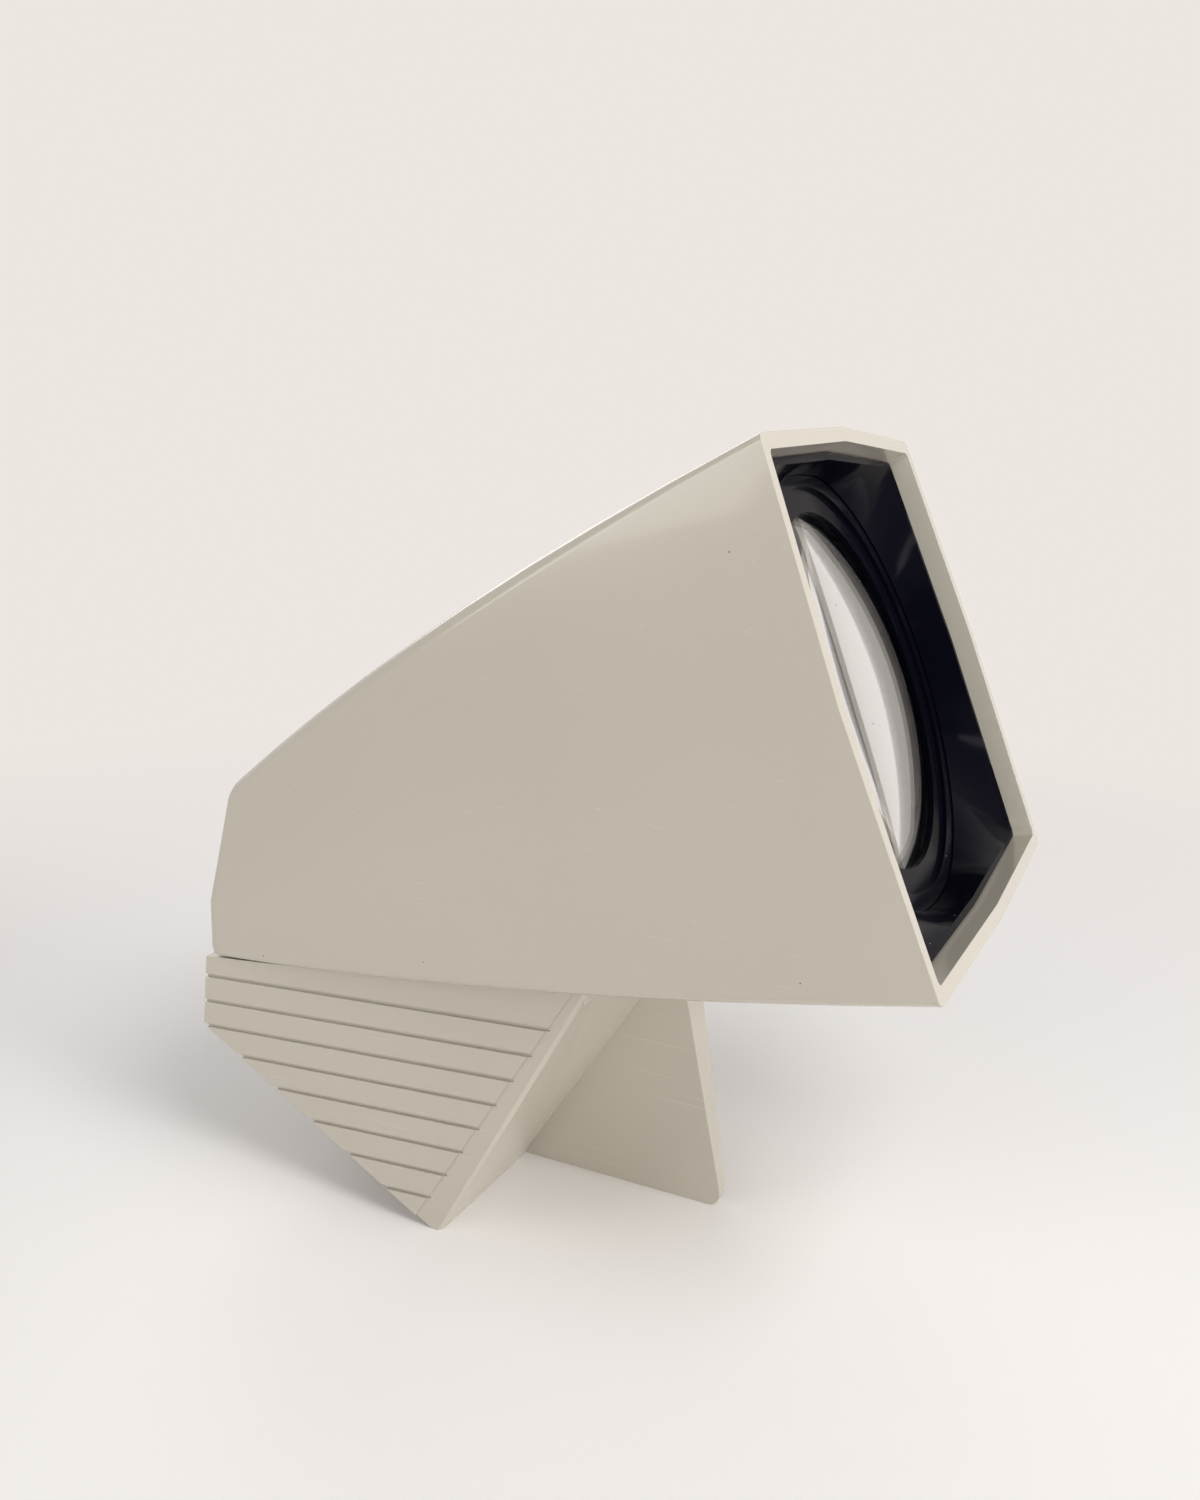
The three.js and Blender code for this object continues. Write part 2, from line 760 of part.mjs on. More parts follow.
// Slide lifter: a tongue under the slide, with a foot that the spring pushes up
const lifterTop = lifterTravel - slideSize / 2 - gap;
const lifterFootTop = lifterTop - lifterDrop;
const lifterFootBottom = lifterFootTop - lifterFootThickness;
const seatTop = lifterFootBottom - lifterSpringLength - gap * 2;

function slideLifter() {
  const half = lifterWidth / 2;
  const footHalf = lifterFootWidth / 2;
  const tongue = block(
    slidePlane - lifterThickness / 2, slidePlane + lifterThickness / 2, -half, half,
    lifterFootBottom, lifterTop);
  const foot = block(
    slidePlane - lifterFootLength / 2, slidePlane + lifterFootLength / 2, -footHalf, footHalf,
    lifterFootBottom, lifterFootTop);
  return join(tongue, foot);
}

// Helix of round wire about an upright axis
class Helix extends THREE.Curve {
  constructor(radius, length, turns) {
    super();
    this.radius = radius;
    this.length = length;
    this.turns = turns;
  }

  getPoint(share, target = new THREE.Vector3()) {
    const turn = 2 * Math.PI * this.turns * share;
    return target.set(this.radius * Math.cos(turn), this.radius * Math.sin(turn), this.length * share);
  }
}

function coilSpring(radius, length, turns) {
  const wire = springWire / 2;
  const circle = new THREE.Path().absarc(0, 0, wire, 0, 2 * Math.PI);
  const section = new THREE.Shape(circle.getPoints(wireSides).slice(1));
  const path = new Helix(radius - wire, length - springWire * 2, turns);
  const geometry = new THREE.ExtrudeGeometry(section, {
    steps: turns * turnSteps, bevelEnabled: false, extrudePath: path,
  });
  return solid(geometry.translate(0, 0, springWire));
}

function lifterSpring() {
  const shift = new THREE.Matrix4().makeTranslation(slidePlane, 0, seatTop + gap);
  return moved(coilSpring(lifterSpringRadius, lifterSpringLength, springTurns), shift);
}

// Reflector: a trough of bent sheet behind the lamp, cut away for the lamp holder
function reflector() {
  const steps = barrelSides / 2;
  const front = diffuserBack - gap * 2;
  const curve = (share, less) => {
    const up = mix(share, -1, 1);
    return [front - (reflectorDepth - less) * (1 - up * up), up * (reflectorHalfHeight - less)];
  };
  const shares = Array.from({ length: steps + 1 }, (_, step) => step / steps);
  const outline = [
    ...shares.map((share) => curve(share, 0)),
    ...shares.map((share) => curve(1 - share, reflectorSheet)),
  ];
  const trough = sidePrism(outline, -reflectorHalfWidth, reflectorHalfWidth);
  const clear = holderSize * Math.SQRT1_2 + bulbNeck;
  const notch = block(
    lampAxis - reflectorDepth, lampAxis + clear, holderStart - gap, reflectorHalfWidth + overrun,
    -mouthHeight, clear);
  return cut(trough, notch);
}

// Lamp: a glass bulb in a threaded cap, lying across the hood
const bulbNeckEnd = bulbRadius + bulbNeck;
const capStart = bulbNeckEnd - bulbNeck / 2 + gap;
const holderStart = capStart + gap * 2;
const holderEnd = capStart + capLength;

function lampBulb() {
  const profile = [[0, -bulbRadius]];
  const steps = smallSides / 2;
  for (let step = 1; step < steps; step += 1) {
    const turn = Math.PI * (step / steps) * (1 - 1 / steps);
    profile.push([bulbRadius * Math.sin(turn), -bulbRadius * Math.cos(turn)]);
  }
  profile.push([bulbNeck, bulbRadius], [bulbNeck, capStart - gap], [0, capStart - gap]);
  return turned(profile, lampAxis, 0, 0);
}

function lampCap() {
  const end = capStart + capLength;
  return turned([
    [0, capStart],
    [capRadius, capStart],
    [capRadius, end - capRadius / 2],
    [capRadius / 2, end],
    [0, end],
  ], lampAxis, 0, 0);
}

// Lamp holder: an upright block round the cap, on a leg that stands on the beam of the base
const lampPlace = new THREE.Vector3(lampAxis, 0, 0).applyMatrix4(optics.matrix);
const beamTop = hoodUndersideZ(beamRearX) + gap;

function lampHolder() {
  const half = holderSize / 2;
  const { x, z } = lampPlace;
  const body = block(x - half, x + half, holderStart, holderEnd, z - half, z + half);
  const leg = block(x - holderLeg / 2, x + holderLeg / 2, holderStart, holderEnd, beamTop + gap, z);
  const footX = Math.max(x - holderLeg, beamRearX);
  const foot = block(
    footX, x + holderLeg, holderStart, holderStart + holderFootWidth,
    beamTop + gap, beamTop + gap + holderFoot);
  const bore = turned([
    [0, -overrun],
    [capRadius + gap, -overrun],
    [capRadius + gap, holderEnd + overrun],
    [0, holderEnd + overrun],
  ], x, 0, z);
  return cut(join(body, leg, foot), bore);
}

function lampContact() {
  const start = holderEnd + gap;
  const bottom = beamTop + gap * 2 + holderFoot;
  return block(
    lampPlace.x - stripWidth / 2, lampPlace.x + stripWidth / 2, start, start + stripThickness,
    bottom, lampPlace.z + stripWidth);
}

// Base: side outline, its front pushed out along a middle ridge, and what is hollow in it
const frontRun = 1 / Math.tan(frontSlope * degrees);
const backRise = Math.tan(backSlope * degrees);
const grooveRise = Math.tan(grooveSlope * degrees);
const frontX = (z) => (z + apexDrop) * frontRun;
const backZ = (x) => -apexDrop - x * backRise;
const rearWallX = (z) => rearX + (z - rearZ) * Math.tan(rearLean * degrees);
const rearLowX = backMeetsRear();
const frontWallInside = baseWall / Math.sin(frontSlope * degrees);
const backInside = (x, depth) => backZ(x) + depth / Math.cos(backSlope * degrees);

// Where the slanted back meets the rear wall
function backMeetsRear() {
  const lean = Math.tan(rearLean * degrees);
  return (rearX - (rearZ + apexDrop) * lean) / (1 + backRise * lean);
}

function baseOutline(y, setback = 0) {
  const ridge = frontRidge * (1 - Math.abs(y) / baseHalf);
  const topSteps = hoodSteps;
  const frontTopX = frontX(baseFrontTopZ) + ridge - setback;
  const top = Array.from({ length: topSteps + 1 }, (_, step) => {
    const x = mix(step / topSteps, rearWallX(rearZ), frontTopX);
    return [x, hoodUndersideZ(x, y) - gap];
  });
  const foot = footHalf(0);
  return [...top, [foot.front - setback, 0], [foot.rear, 0], [rearLowX, backZ(rearLowX)]]
    .map(([x, z]) => new THREE.Vector3(x, y, z));
}

function footHalf(z) {
  return { front: frontX(z), rear: -(apexDrop + z) / backRise };
}

function baseBody() {
  const bends = Array.from({ length: roundSteps + 1 }, (_, step) => Math.PI / 2 * step / roundSteps);
  const side = bends.map((turn) => ({
    y: baseHalf - flangeRound * (1 - Math.sin(turn)),
    setback: flangeRound * (1 - Math.cos(turn)),
  }));
  return loft([
    ...side.slice().reverse().map(({ y, setback }) => baseOutline(-y, setback)),
    baseOutline(0),
    ...side.map(({ y, setback }) => baseOutline(y, setback)),
  ]);
}

// The smooth band between the grooved field and the front edge lies a little lower than the field
function frontBands() {
  const topRow = {
    x: grooveEndX - bandSetback,
    z: rearZ - grooveTopDrop + (grooveEndX - rearX) * grooveRise,
  };
  const fall = (groovePitch + grooveEndPitch * grooveRise) / grooveEndPitch;
  const lineX = (z) => topRow.x - (topRow.z - z) / fall;
  const topZ = hoodUndersideZ(hatchFrontX) + overrun;
  const outline = counterclockwise([
    [lineX(-overrun), -overrun],
    [frontX(-overrun) + overrun, -overrun],
    [frontX(topZ) + overrun, topZ],
    [lineX(topZ), topZ],
  ]);
  return [
    sidePrism(outline, -baseHalf - overrun, bandDepth - baseHalf),
    sidePrism(outline, baseHalf - bandDepth, baseHalf + overrun),
  ];
}

function pocketOutline() {
  const topZ = hoodUndersideZ(hatchFrontX) + overrun;
  const rearInside = rearWallX(rearZ) + baseWall;
  const floorX = (z) => -(z + apexDrop - pocketFloor / Math.cos(backSlope * degrees)) / backRise;
  const toeZ = pocketFloor;
  return [
    [rearInside, topZ],
    [rearInside, backInside(rearInside, pocketFloor)],
    [floorX(toeZ), toeZ],
    [frontX(toeZ) - frontWallInside, toeZ],
    [frontX(topZ) - frontWallInside, topZ],
  ];
}

function bayOutline() {
  const topZ = hoodUndersideZ(hatchFrontX) + overrun;
  const rearInside = rearWallX(rearZ) + baseWall;
  const ledge = doorThickness + gap + partition;
  const below = backZ(bayDoorFootX) - overrun;
  const toeZ = backInside(bayDoorFootX, ledge);
  return [
    [shelfRearX, topZ],
    [rearInside, topZ],
    [rearInside, backInside(rearInside, ledge)],
    [bayDoorTopX, backInside(bayDoorTopX, ledge)],
    [bayDoorTopX, backZ(bayDoorTopX) - overrun],
    [bayDoorFootX, below],
    [bayDoorFootX, toeZ],
    [frontX(toeZ) - frontWallInside, toeZ],
    [frontX(shelfZ) - frontWallInside, shelfZ],
    [shelfRearX, shelfZ],
  ];
}

function roomOutline() {
  const topZ = hoodUndersideZ(hatchFrontX) + overrun;
  const floorZ = shelfZ + shelfThickness;
  return [
    [shelfRearX, floorZ],
    [frontX(floorZ) - frontWallInside, floorZ],
    [frontX(topZ) - frontWallInside, topZ],
    [shelfRearX, topZ],
  ];
}

// A band along the slanted back, from one distance above the foot to another, between two depths
function backBand(from, to, outerDepth, innerDepth, halfWidth) {
  const along = new THREE.Vector2(-Math.cos(backSlope * degrees), Math.sin(backSlope * degrees));
  const inwards = new THREE.Vector2(along.y, -along.x);
  const corner = (distance, depth) => [
    along.x * distance + inwards.x * depth,
    along.y * distance + inwards.y * depth - apexDrop,
  ];
  return sidePrism(counterclockwise([
    corner(from, outerDepth), corner(to, outerDepth), corner(to, innerDepth), corner(from, innerDepth),
  ]), -halfWidth, halfWidth);
}

function counterclockwise(outline) {
  const points = outline.map(([x, z]) => new THREE.Vector2(x, z));
  return THREE.ShapeUtils.isClockWise(points) ? outline.slice().reverse() : outline;
}

function grooves() {
  const bars = [];
  for (let row = 0; row < grooveCount; row += 1) {
    const startZ = rearZ - grooveTopDrop - row * groovePitch;
    const rearEnd = rearLowX - overrun;
    const heightAt = (x) => startZ + (x - rearX) * grooveRise;
    const frontEnd = grooveEndX - row * grooveEndPitch;
    const bar = (y0, y1) => sidePrism(counterclockwise([
      [rearEnd, heightAt(rearEnd)],
      [frontEnd, heightAt(frontEnd)],
      [frontEnd, heightAt(frontEnd) + grooveWidth],
      [rearEnd, heightAt(rearEnd) + grooveWidth],
    ]), y0, y1);
    bars.push(bar(-baseHalf - overrun, grooveDepth - baseHalf));
    bars.push(bar(baseHalf - grooveDepth, baseHalf + overrun));
  }
  return bars;
}

function keel() {
  const topZ = hoodUndersideZ(frontX(baseFrontTopZ)) - gap;
  const lean = Math.tan(keelLean * degrees);
  const ring = (z, rearShift) => {
    const half = mix(z / topZ, keelFootThickness, keelTopThickness) / 2;
    const rear = frontX(z) - baseWall / 2 + rearShift;
    const front = keelFootX - z * lean - keelNose(z);
    return [[rear, -half], [front, -half], [front, half], [rear, half]]
      .map(([x, y]) => new THREE.Vector3(x, y, z));
  };
  const rings = [];
  for (let step = 0; step <= cornerSteps; step += 1) {
    rings.push(ring(keelCorner * (1 - Math.cos(Math.PI / 2 * step / cornerSteps)), 0));
  }
  rings.push(ring(topZ, 0));
  return loft(rings);
}

// How far the keel's rounded nose falls back near the table
function keelNose(z) {
  const rest = Math.max(0, keelCorner - z);
  return keelCorner - Math.sqrt(keelCorner ** 2 - rest ** 2);
}

function baseHousing() {
  const pocketMiddle = bayHalf + partition;
  const pocketEnd = baseHalf - sideWall;
  const hollows = [
    sidePrism(counterclockwise(bayOutline()), -bayHalf, bayHalf),
    sidePrism(counterclockwise(pocketOutline()), pocketMiddle, pocketEnd),
    sidePrism(counterclockwise(pocketOutline()), -pocketEnd, -pocketMiddle),
    sidePrism(counterclockwise(roomOutline()), -pocketEnd, pocketEnd),
  ];
  const recess = backBand(doorStart - gap, doorEnd + overrun, -overrun, doorThickness + gap, doorHalf + gap);
  const tongueTop = (doorThickness - tongueThickness) / 2;
  const slots = backBand(
    doorStart - gap, doorEnd + overrun, tongueTop - gap, tongueTop + tongueThickness + gap,
    doorHalf + tongueReach + gap);
  const deckZ = hoodUndersideZ(deckRearX) - gap;
  const deck = block(
    deckRearX, frontX(deckZ) - baseWall / 2, -pocketEnd - sideWall / 2, pocketEnd + sideWall / 2,
    deckZ - deckThickness, deckZ);
  const lip = block(
    deckRearX, deckRearX + lipThickness, -lipHalf, lipHalf,
    deckZ - deckThickness, deckZ + lipHeight);
  const beam = block(
    beamRearX, beamFrontX, -bayHalf - partition / 2, bayHalf + partition / 2,
    beamTop - beamThickness, beamTop);
  const seat = inViewer(block(
    slidePlane - lifterSpringRadius - gap, slidePlane + lifterSpringRadius + gap,
    -lifterSpringRadius, lifterSpringRadius, seatTop - springSeat, seatTop));
  const bossTop = hoodUndersideZ(screwX - bossRadius) - gap;
  const bossFoot = backInside(screwX, doorThickness + gap);
  const bosses = [-screwY, screwY].map((y) => rodAlongZ(bossRadius, screwX, y, bossFoot, bossTop));
  const bores = [-screwY, screwY].flatMap((y) => [
    rodAlongZ(screwRadius + gap, screwX, y, bossFoot - overrun, bossTop + overrun),
    rodAlongZ(screwHeadRadius + gap, screwX, y, bossFoot - overrun, baseScrewHeadZ),
  ]);
  const body = join(cut(baseBody(), ...hollows), deck, lip, beam, seat, ...bosses, keel());
  return cut(body, recess, slots, ...frontBands(), ...grooves(), ...bores);
}

function baseScrew(y) {
  const seat = baseScrewHeadZ - gap;
  return join(
    rodAlongZ(screwHeadRadius, screwX, y, seat - screwHeadHeight, seat),
    rodAlongZ(screwRadius, screwX, y, seat - screwHeadHeight, seat + baseScrewLength));
}

// Door over the cells: a plate that slides on two tongues, with ridges for the thumb
function batteryDoor() {
  const tongueTop = (doorThickness - tongueThickness) / 2;
  const plate = backBand(doorStart, doorEnd, 0, doorThickness, doorHalf);
  const tongues = backBand(
    doorStart, doorEnd, tongueTop, tongueTop + tongueThickness, doorHalf + tongueReach);
  const ridges = Array.from({ length: gripCount }, (_, row) => {
    const start = gripStart + row * gripPitch;
    return backBand(start, start + gripWidth, -gripHeight, doorThickness / 2, gripHalf);
  });
  return join(plate, tongues, ...ridges);
}

// Cells lie across the base, nose to tail, between the contacts on the two partitions
const cellInset = gap * 2 + contactThickness;
const plainEnd = bayHalf - cellInset - cellNubLength;
const cellSpringLength = 2 * bayHalf - cellInset * 2 - cellLength - cellNubLength - gap;

function batteryCell(x, z, noseSide) {
  const shoulder = cellRadius / cellChamferShare;
  const profile = [
    [0, 0],
    [cellRadius - shoulder, 0],
    [cellRadius, shoulder],
    [cellRadius, cellLength - shoulder],
    [cellRadius - shoulder, cellLength],
    [cellNubRadius, cellLength],
    [cellNubRadius, cellLength + cellNubLength],
    [0, cellLength + cellNubLength],
  ].map(([radius, height]) => [radius, height + plainEnd - cellLength]);
  const body = turned(profile, 0, 0, 0, barrelSides);
  const turn = new THREE.Matrix4().makeRotationZ(noseSide > 0 ? 0 : Math.PI).setPosition(x, 0, z);
  return moved(body, turn);
}

function cellSpring(x, z, side) {
  const half = bayHalf - gap * 2 - contactThickness;
  const turn = new THREE.Matrix4().makeRotationX(side > 0 ? -Math.PI / 2 : Math.PI / 2)
    .setPosition(x, side * (half - cellSpringLength), z);
  return moved(coilSpring(cellSpringRadius, cellSpringLength, springTurns - 1), turn);
}

function contactPlate(x, z, side) {
  const outer = side * (bayHalf - gap);
  const face = side * (bayHalf - gap - contactThickness);
  const half = contactSize / 2;
  return block(x - half, x + half, Math.min(outer, face), Math.max(outer, face), z - half, z + half);
}

// One plate joins the two cells in series at the near side
function batteryLink() {
  const outer = gap - bayHalf;
  const half = stripWidth / 2;
  const bridge = sidePrism(counterclockwise([
    [rearCellX, rearCellZ - half],
    [frontCellX, frontCellZ - half],
    [frontCellX, frontCellZ + half],
    [rearCellX, rearCellZ + half],
  ]), outer, outer + contactThickness);
  return join(contactPlate(rearCellX, rearCellZ, -1), contactPlate(frontCellX, frontCellZ, -1), bridge);
}

// Leaf of the switch: it stands on the shelf and reaches under the lifter's foot
function switchLeaf() {
  const top = lifterFootBottom - lifterTravel - gap;
  const footHalf = lifterFootWidth / 2;
  const near = footHalf - stripWidth;
  const back = slidePlane - lifterFootLength / 2;
  const front = slidePlane + lifterFootLength / 2 + leafReach;
  const arm = block(back, front, near, footHalf, top - stripThickness, top);
  const legTop = new THREE.Vector3(front, 0, top).applyMatrix4(optics.matrix);
  const floorZ = shelfZ + shelfThickness + gap;
  const legThickness = stripThickness / Math.cos(mouthTilt * degrees);
  const leg = block(legTop.x - legThickness, legTop.x, near, footHalf, floorZ, legTop.z - stripThickness);
  const tab = block(legTop.x - stripWidth, legTop.x, near, footHalf, floorZ, floorZ + stripThickness);
  return join(inViewer(arm), leg, tab);
}

piece('upper_shell', upperShell(), shellPlastic);
piece('hood_liner', hoodLiner(), blackPlastic, optics);
piece('lens_bezel', lensBezel(), blackPlastic, optics);
piece('lens', lens(), clearLens, optics);
piece('lens_retainer', lensRetainer(), mattBlack, optics);
piece('slide_gate', slideGate(), mattBlack, optics);
piece('slide_backplate', slideBackplate(), mattBlack, optics);
piece('pressure_spring_left', pressureSpring(1), springSteel, optics);
piece('pressure_spring_right', pressureSpring(-1), springSteel, optics);
piece('gate_screw_left', gateScrew(gateScrewY), zincSteel, optics);
piece('gate_screw_right', gateScrew(-gateScrewY), zincSteel, optics);
piece('diffuser', diffuser(), opalPlastic, optics);
piece('slide_lifter', slideLifter(), mattBlack, optics);
piece('lifter_spring', lifterSpring(), springSteel, optics);
piece('reflector', reflector(), reflectorSheetMetal, optics);
piece('lamp_bulb', lampBulb(), bulbGlass, optics);
piece('lamp_cap', lampCap(), brass, optics);
piece('lamp_holder', lampHolder(), mattBlack);
piece('lamp_contact', lampContact(), brass);
piece('switch_leaf', switchLeaf(), brass);
piece('base_housing', baseHousing(), shellPlastic);
piece('base_screw_left', baseScrew(screwY), zincSteel);
piece('base_screw_right', baseScrew(-screwY), zincSteel);
piece('battery_door', batteryDoor(), shellPlastic);
piece('battery_cell_rear', batteryCell(rearCellX, rearCellZ, 1), cellWrap);
piece('battery_cell_front', batteryCell(frontCellX, frontCellZ, -1), cellWrap);
piece('battery_spring_rear', cellSpring(rearCellX, rearCellZ, -1), springSteel);
piece('battery_spring_front', cellSpring(frontCellX, frontCellZ, 1), springSteel);
piece('battery_link', batteryLink(), zincSteel);
piece('terminal_rear', contactPlate(rearCellX, rearCellZ, 1), zincSteel);
piece('terminal_front', contactPlate(frontCellX, frontCellZ, 1), zincSteel);

// The origin goes under the middle of the outline
viewer.position.x = -new THREE.Box3().setFromObject(viewer).getCenter(new THREE.Vector3()).x;

export default viewer;
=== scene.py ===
"""Looks of a tabletop slide viewer: hood, lens, slide gate, lamp, grooved base, keel and battery bay."""

import json
import math

import bmesh
import bpy
from bpy.props import FloatProperty, FloatVectorProperty, IntProperty, PointerProperty
from mathutils import Matrix, Vector

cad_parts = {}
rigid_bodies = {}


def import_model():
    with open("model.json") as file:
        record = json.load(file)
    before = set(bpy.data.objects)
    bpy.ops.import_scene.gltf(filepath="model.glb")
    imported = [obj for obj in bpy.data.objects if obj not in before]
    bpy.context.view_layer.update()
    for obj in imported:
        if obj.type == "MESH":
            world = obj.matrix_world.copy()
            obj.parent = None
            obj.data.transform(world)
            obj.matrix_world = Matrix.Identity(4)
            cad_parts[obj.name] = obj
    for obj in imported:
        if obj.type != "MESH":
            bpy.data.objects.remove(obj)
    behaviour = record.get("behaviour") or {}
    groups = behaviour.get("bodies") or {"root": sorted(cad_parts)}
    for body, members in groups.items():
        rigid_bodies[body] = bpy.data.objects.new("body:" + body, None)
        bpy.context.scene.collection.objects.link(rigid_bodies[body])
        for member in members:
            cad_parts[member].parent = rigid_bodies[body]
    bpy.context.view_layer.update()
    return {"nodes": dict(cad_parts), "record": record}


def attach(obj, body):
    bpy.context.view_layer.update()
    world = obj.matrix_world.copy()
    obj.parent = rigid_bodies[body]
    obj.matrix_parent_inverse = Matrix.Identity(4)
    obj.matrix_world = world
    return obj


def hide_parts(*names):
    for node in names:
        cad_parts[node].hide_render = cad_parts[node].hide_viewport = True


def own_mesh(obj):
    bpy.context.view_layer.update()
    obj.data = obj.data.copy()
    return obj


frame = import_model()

bl_info = {
    "name": "Slide Viewer",
    "version": (1, 0, 0),
    "blender": (4, 5, 0),
    "location": "3D View > Sidebar > Slide Viewer",
    "description": "Finishes the pieces of a battery slide viewer and sets its studio stage",
    "category": "Object",
}

MM = 0.001

# Optics, as in the CAD: middle of the mouth, the way that it faces, and up across it
MOUTH = Vector((66.06, 0.0, 130.84)) * MM
AXIS = Vector((0.92521, 0.0, 0.37946)).normalized()
UP = Vector((0.0, -1.0, 0.0)).cross(AXIS)

# Lens: depths are from the mouth, and its middle lies LENS_DROP mm below the axis
LENS_DROP = 2.5
LENS_FACE, LENS_FLANGE = 37.0 * MM, 40.0 * MM
LENS_FRONT, LENS_BACK = -13.5 * MM, -21.5 * MM
FRONT_RADIUS, BACK_RADIUS = 119 * MM, 790 * MM
FRONT_RINGS, BACK_RINGS = 30, 20
LENS_STEPS = 144
LENS_IOR = 1.457
PAINT_GAP, PAINT_SKIN = 0.6 * MM, 0.03 * MM

# Liner: a wall between the mouth's outline and the bezel's bore, ruled with straight lines
BEZEL_BORE = 47.5 * MM
LINER_WALL = 1.5 * MM
LINER_ROWS, LINER_STEPS = 5, 240
LINER_LOOPS = LINER_ROWS + 4
FOLD_ROOM = 1.3
FOLD_STEPS = 3
SEAT_SLACK = 0.1 * MM
LEVEL_SLACK = 0.05 * MM
SPOT_DIGITS = 6
RING_RADIUS, TUBE_RADIUS = 40 * MM, 5 * MM

# Mesh work: angles are the turns between faces
MERGE_REACH = 0.002 * MM
FLAT_TURN = math.radians(0.4)
STRAIGHT_TURN = math.radians(0.7)
QUAD_TURN, QUAD_SKEW = math.radians(30.0), math.radians(60.0)
SHARP_TURN, HOOD_TURN = math.radians(40.0), math.radians(24.0)
SOFT_TURN, LENS_TURN, PAINT_TURN = math.radians(32.0), math.radians(12.0), math.radians(30.0)
WIRE_TURN = math.radians(70.0)
NORMAL_WEIGHT = 60
HOOD_FACE, BASE_FACE = 500 * MM * MM, 60 * MM * MM
FINE_STEPS = 2
BEZEL_SHARE = 1.5

# Finishes: shares are of the finish's own colour or roughness
PLASTIC_IOR, BULB_IOR = 1.5, 1.5
COAT_ROUGHNESS = 0.06
SMOOTH_SHARE, ROUGH_SHARE = 0.82, 1.2
PALE_SHARE, PALE_LIFT = 1.25, 0.01
SCRATCH_WEAR = 0.35
GRAIN_DEPTH, LINE_DEPTH = 0.05 * MM, 0.02 * MM
LINE_BUMP = 0.06
METAL_SHADE, ZINC_SHADE = 0.8, 0.85
DUST = (0.7, 0.69, 0.66)
# Warmer, darker tint near one spot behind the back of the hood: the spot, its reach and the shares of the shell's
# colour
TINT_SPOT, TINT_REACH, TINT_SHARES = (-0.083, 0.0, 0.1), 0.03, (0.97, 0.86, 0.76)

# Stage: places in metres
CAMERA_PLACE = (122.006 * MM, -256.290 * MM, 169.659 * MM)
CAMERA_TURN, CAMERA_DIP, CAMERA_ROLL = math.radians(26.0413), math.radians(12.9563), math.radians(1.2428)
SENSOR_WIDTH = 36.0
CLIP_START = 5 * MM
TABLE_SIZE = 6.0
TABLE_ROUGHNESS, TABLE_SPECULAR = 0.42, 0.25
FADE_START, FADE_END = 0.14, 0.55
CARD_PLACE, CARD_TARGET, CARD_SIZE = (0.4, -0.2, 0.38), (0.07, 0.0, 0.13), 0.6
CARD_COLOUR = (0.01, 0.01, 0.015, 1.0)
SOFT_WHITE = (1.0, 0.985, 0.965)

# Lamps: name, place, the point that it faces, size, the setting with its power, colour
LAMPS = (
    ("key_lamp", (0.6, -0.25, 0.9), (0.0, 0.0, 0.06), 0.5, "key", (1.0, 0.985, 0.96)),
    ("mouth_lamp", (1.1, -0.15, 0.4), (0.06, 0.0, 0.12), 0.5, "fill", (1.0, 0.99, 0.97)),
    ("side_lamp", (-0.75, -0.8, 0.45), (0.0, 0.0, 0.05), 0.5, "side", SOFT_WHITE),
    ("back_lamp", (-0.8, 0.8, 0.6), (0.0, 0.0, 0.08), 0.6, "back", SOFT_WHITE),
    ("low_lamp", (0.1, -0.8, 0.1), (0.0, 0.0, 0.08), 0.3, "low", SOFT_WHITE),
)


# Sizes and colours that a user would change

def length(label, note, millimetres):
    """A length setting, given in millimetres."""
    return FloatProperty(name=label, description=note, default=millimetres * MM, unit="LENGTH")


def tint(label, note, value):
    """A colour setting."""
    return FloatVectorProperty(name=label, description=note, subtype="COLOR", size=3, default=value)


def power(label, note, watts):
    """A lamp's power setting."""
    return FloatProperty(name=label, description=note, default=watts, subtype="POWER")


class ViewerSizes(bpy.types.PropertyGroup):
    hood_edge: length("Hood edge", "Rounding of the hood's rim", 0.7)
    hood_fold: length("Hood fold", "Rounding of the hood's long edges", 1.8)
    base_edge: length("Base edge", "Rounding of the base's outer edges", 0.9)
    groove_edge: length("Groove edge", "Rounding of the grooves' lips", 0.25)
    liner_edge: length("Liner edge", "Rounding of the bezel, which takes one and a half times this", 0.45)
    liner_fold: length("Liner fold", "Rounding of the folds between the liner's walls", 1.4)
    fine_edge: length("Fine edge", "Rounding of the small inner pieces", 0.2)
    edge_steps: IntProperty(name="Edge steps", description="Faces across a rounded edge", default=3, min=1, max=6)


class ViewerFinish(bpy.types.PropertyGroup):
    shell: tint("Shell", "Colour of the hood and the base", (0.5, 0.465, 0.395))
    liner: tint("Liner", "Colour of the liner and the bezel", (0.0025, 0.0025, 0.006))
    black: tint("Black", "Colour of the matt inner mouldings", (0.014, 0.014, 0.016))
    opal: tint("Opal", "Colour of the diffuser", (0.85, 0.84, 0.8))
    steel: tint("Steel", "Colour of springs and screws", (0.6, 0.61, 0.63))
    brass: tint("Brass", "Colour of the lamp's contacts", (0.68, 0.49, 0.2))
    wrap: tint("Cell wrap", "Colour of the cells' wrap", (0.12, 0.15, 0.18))


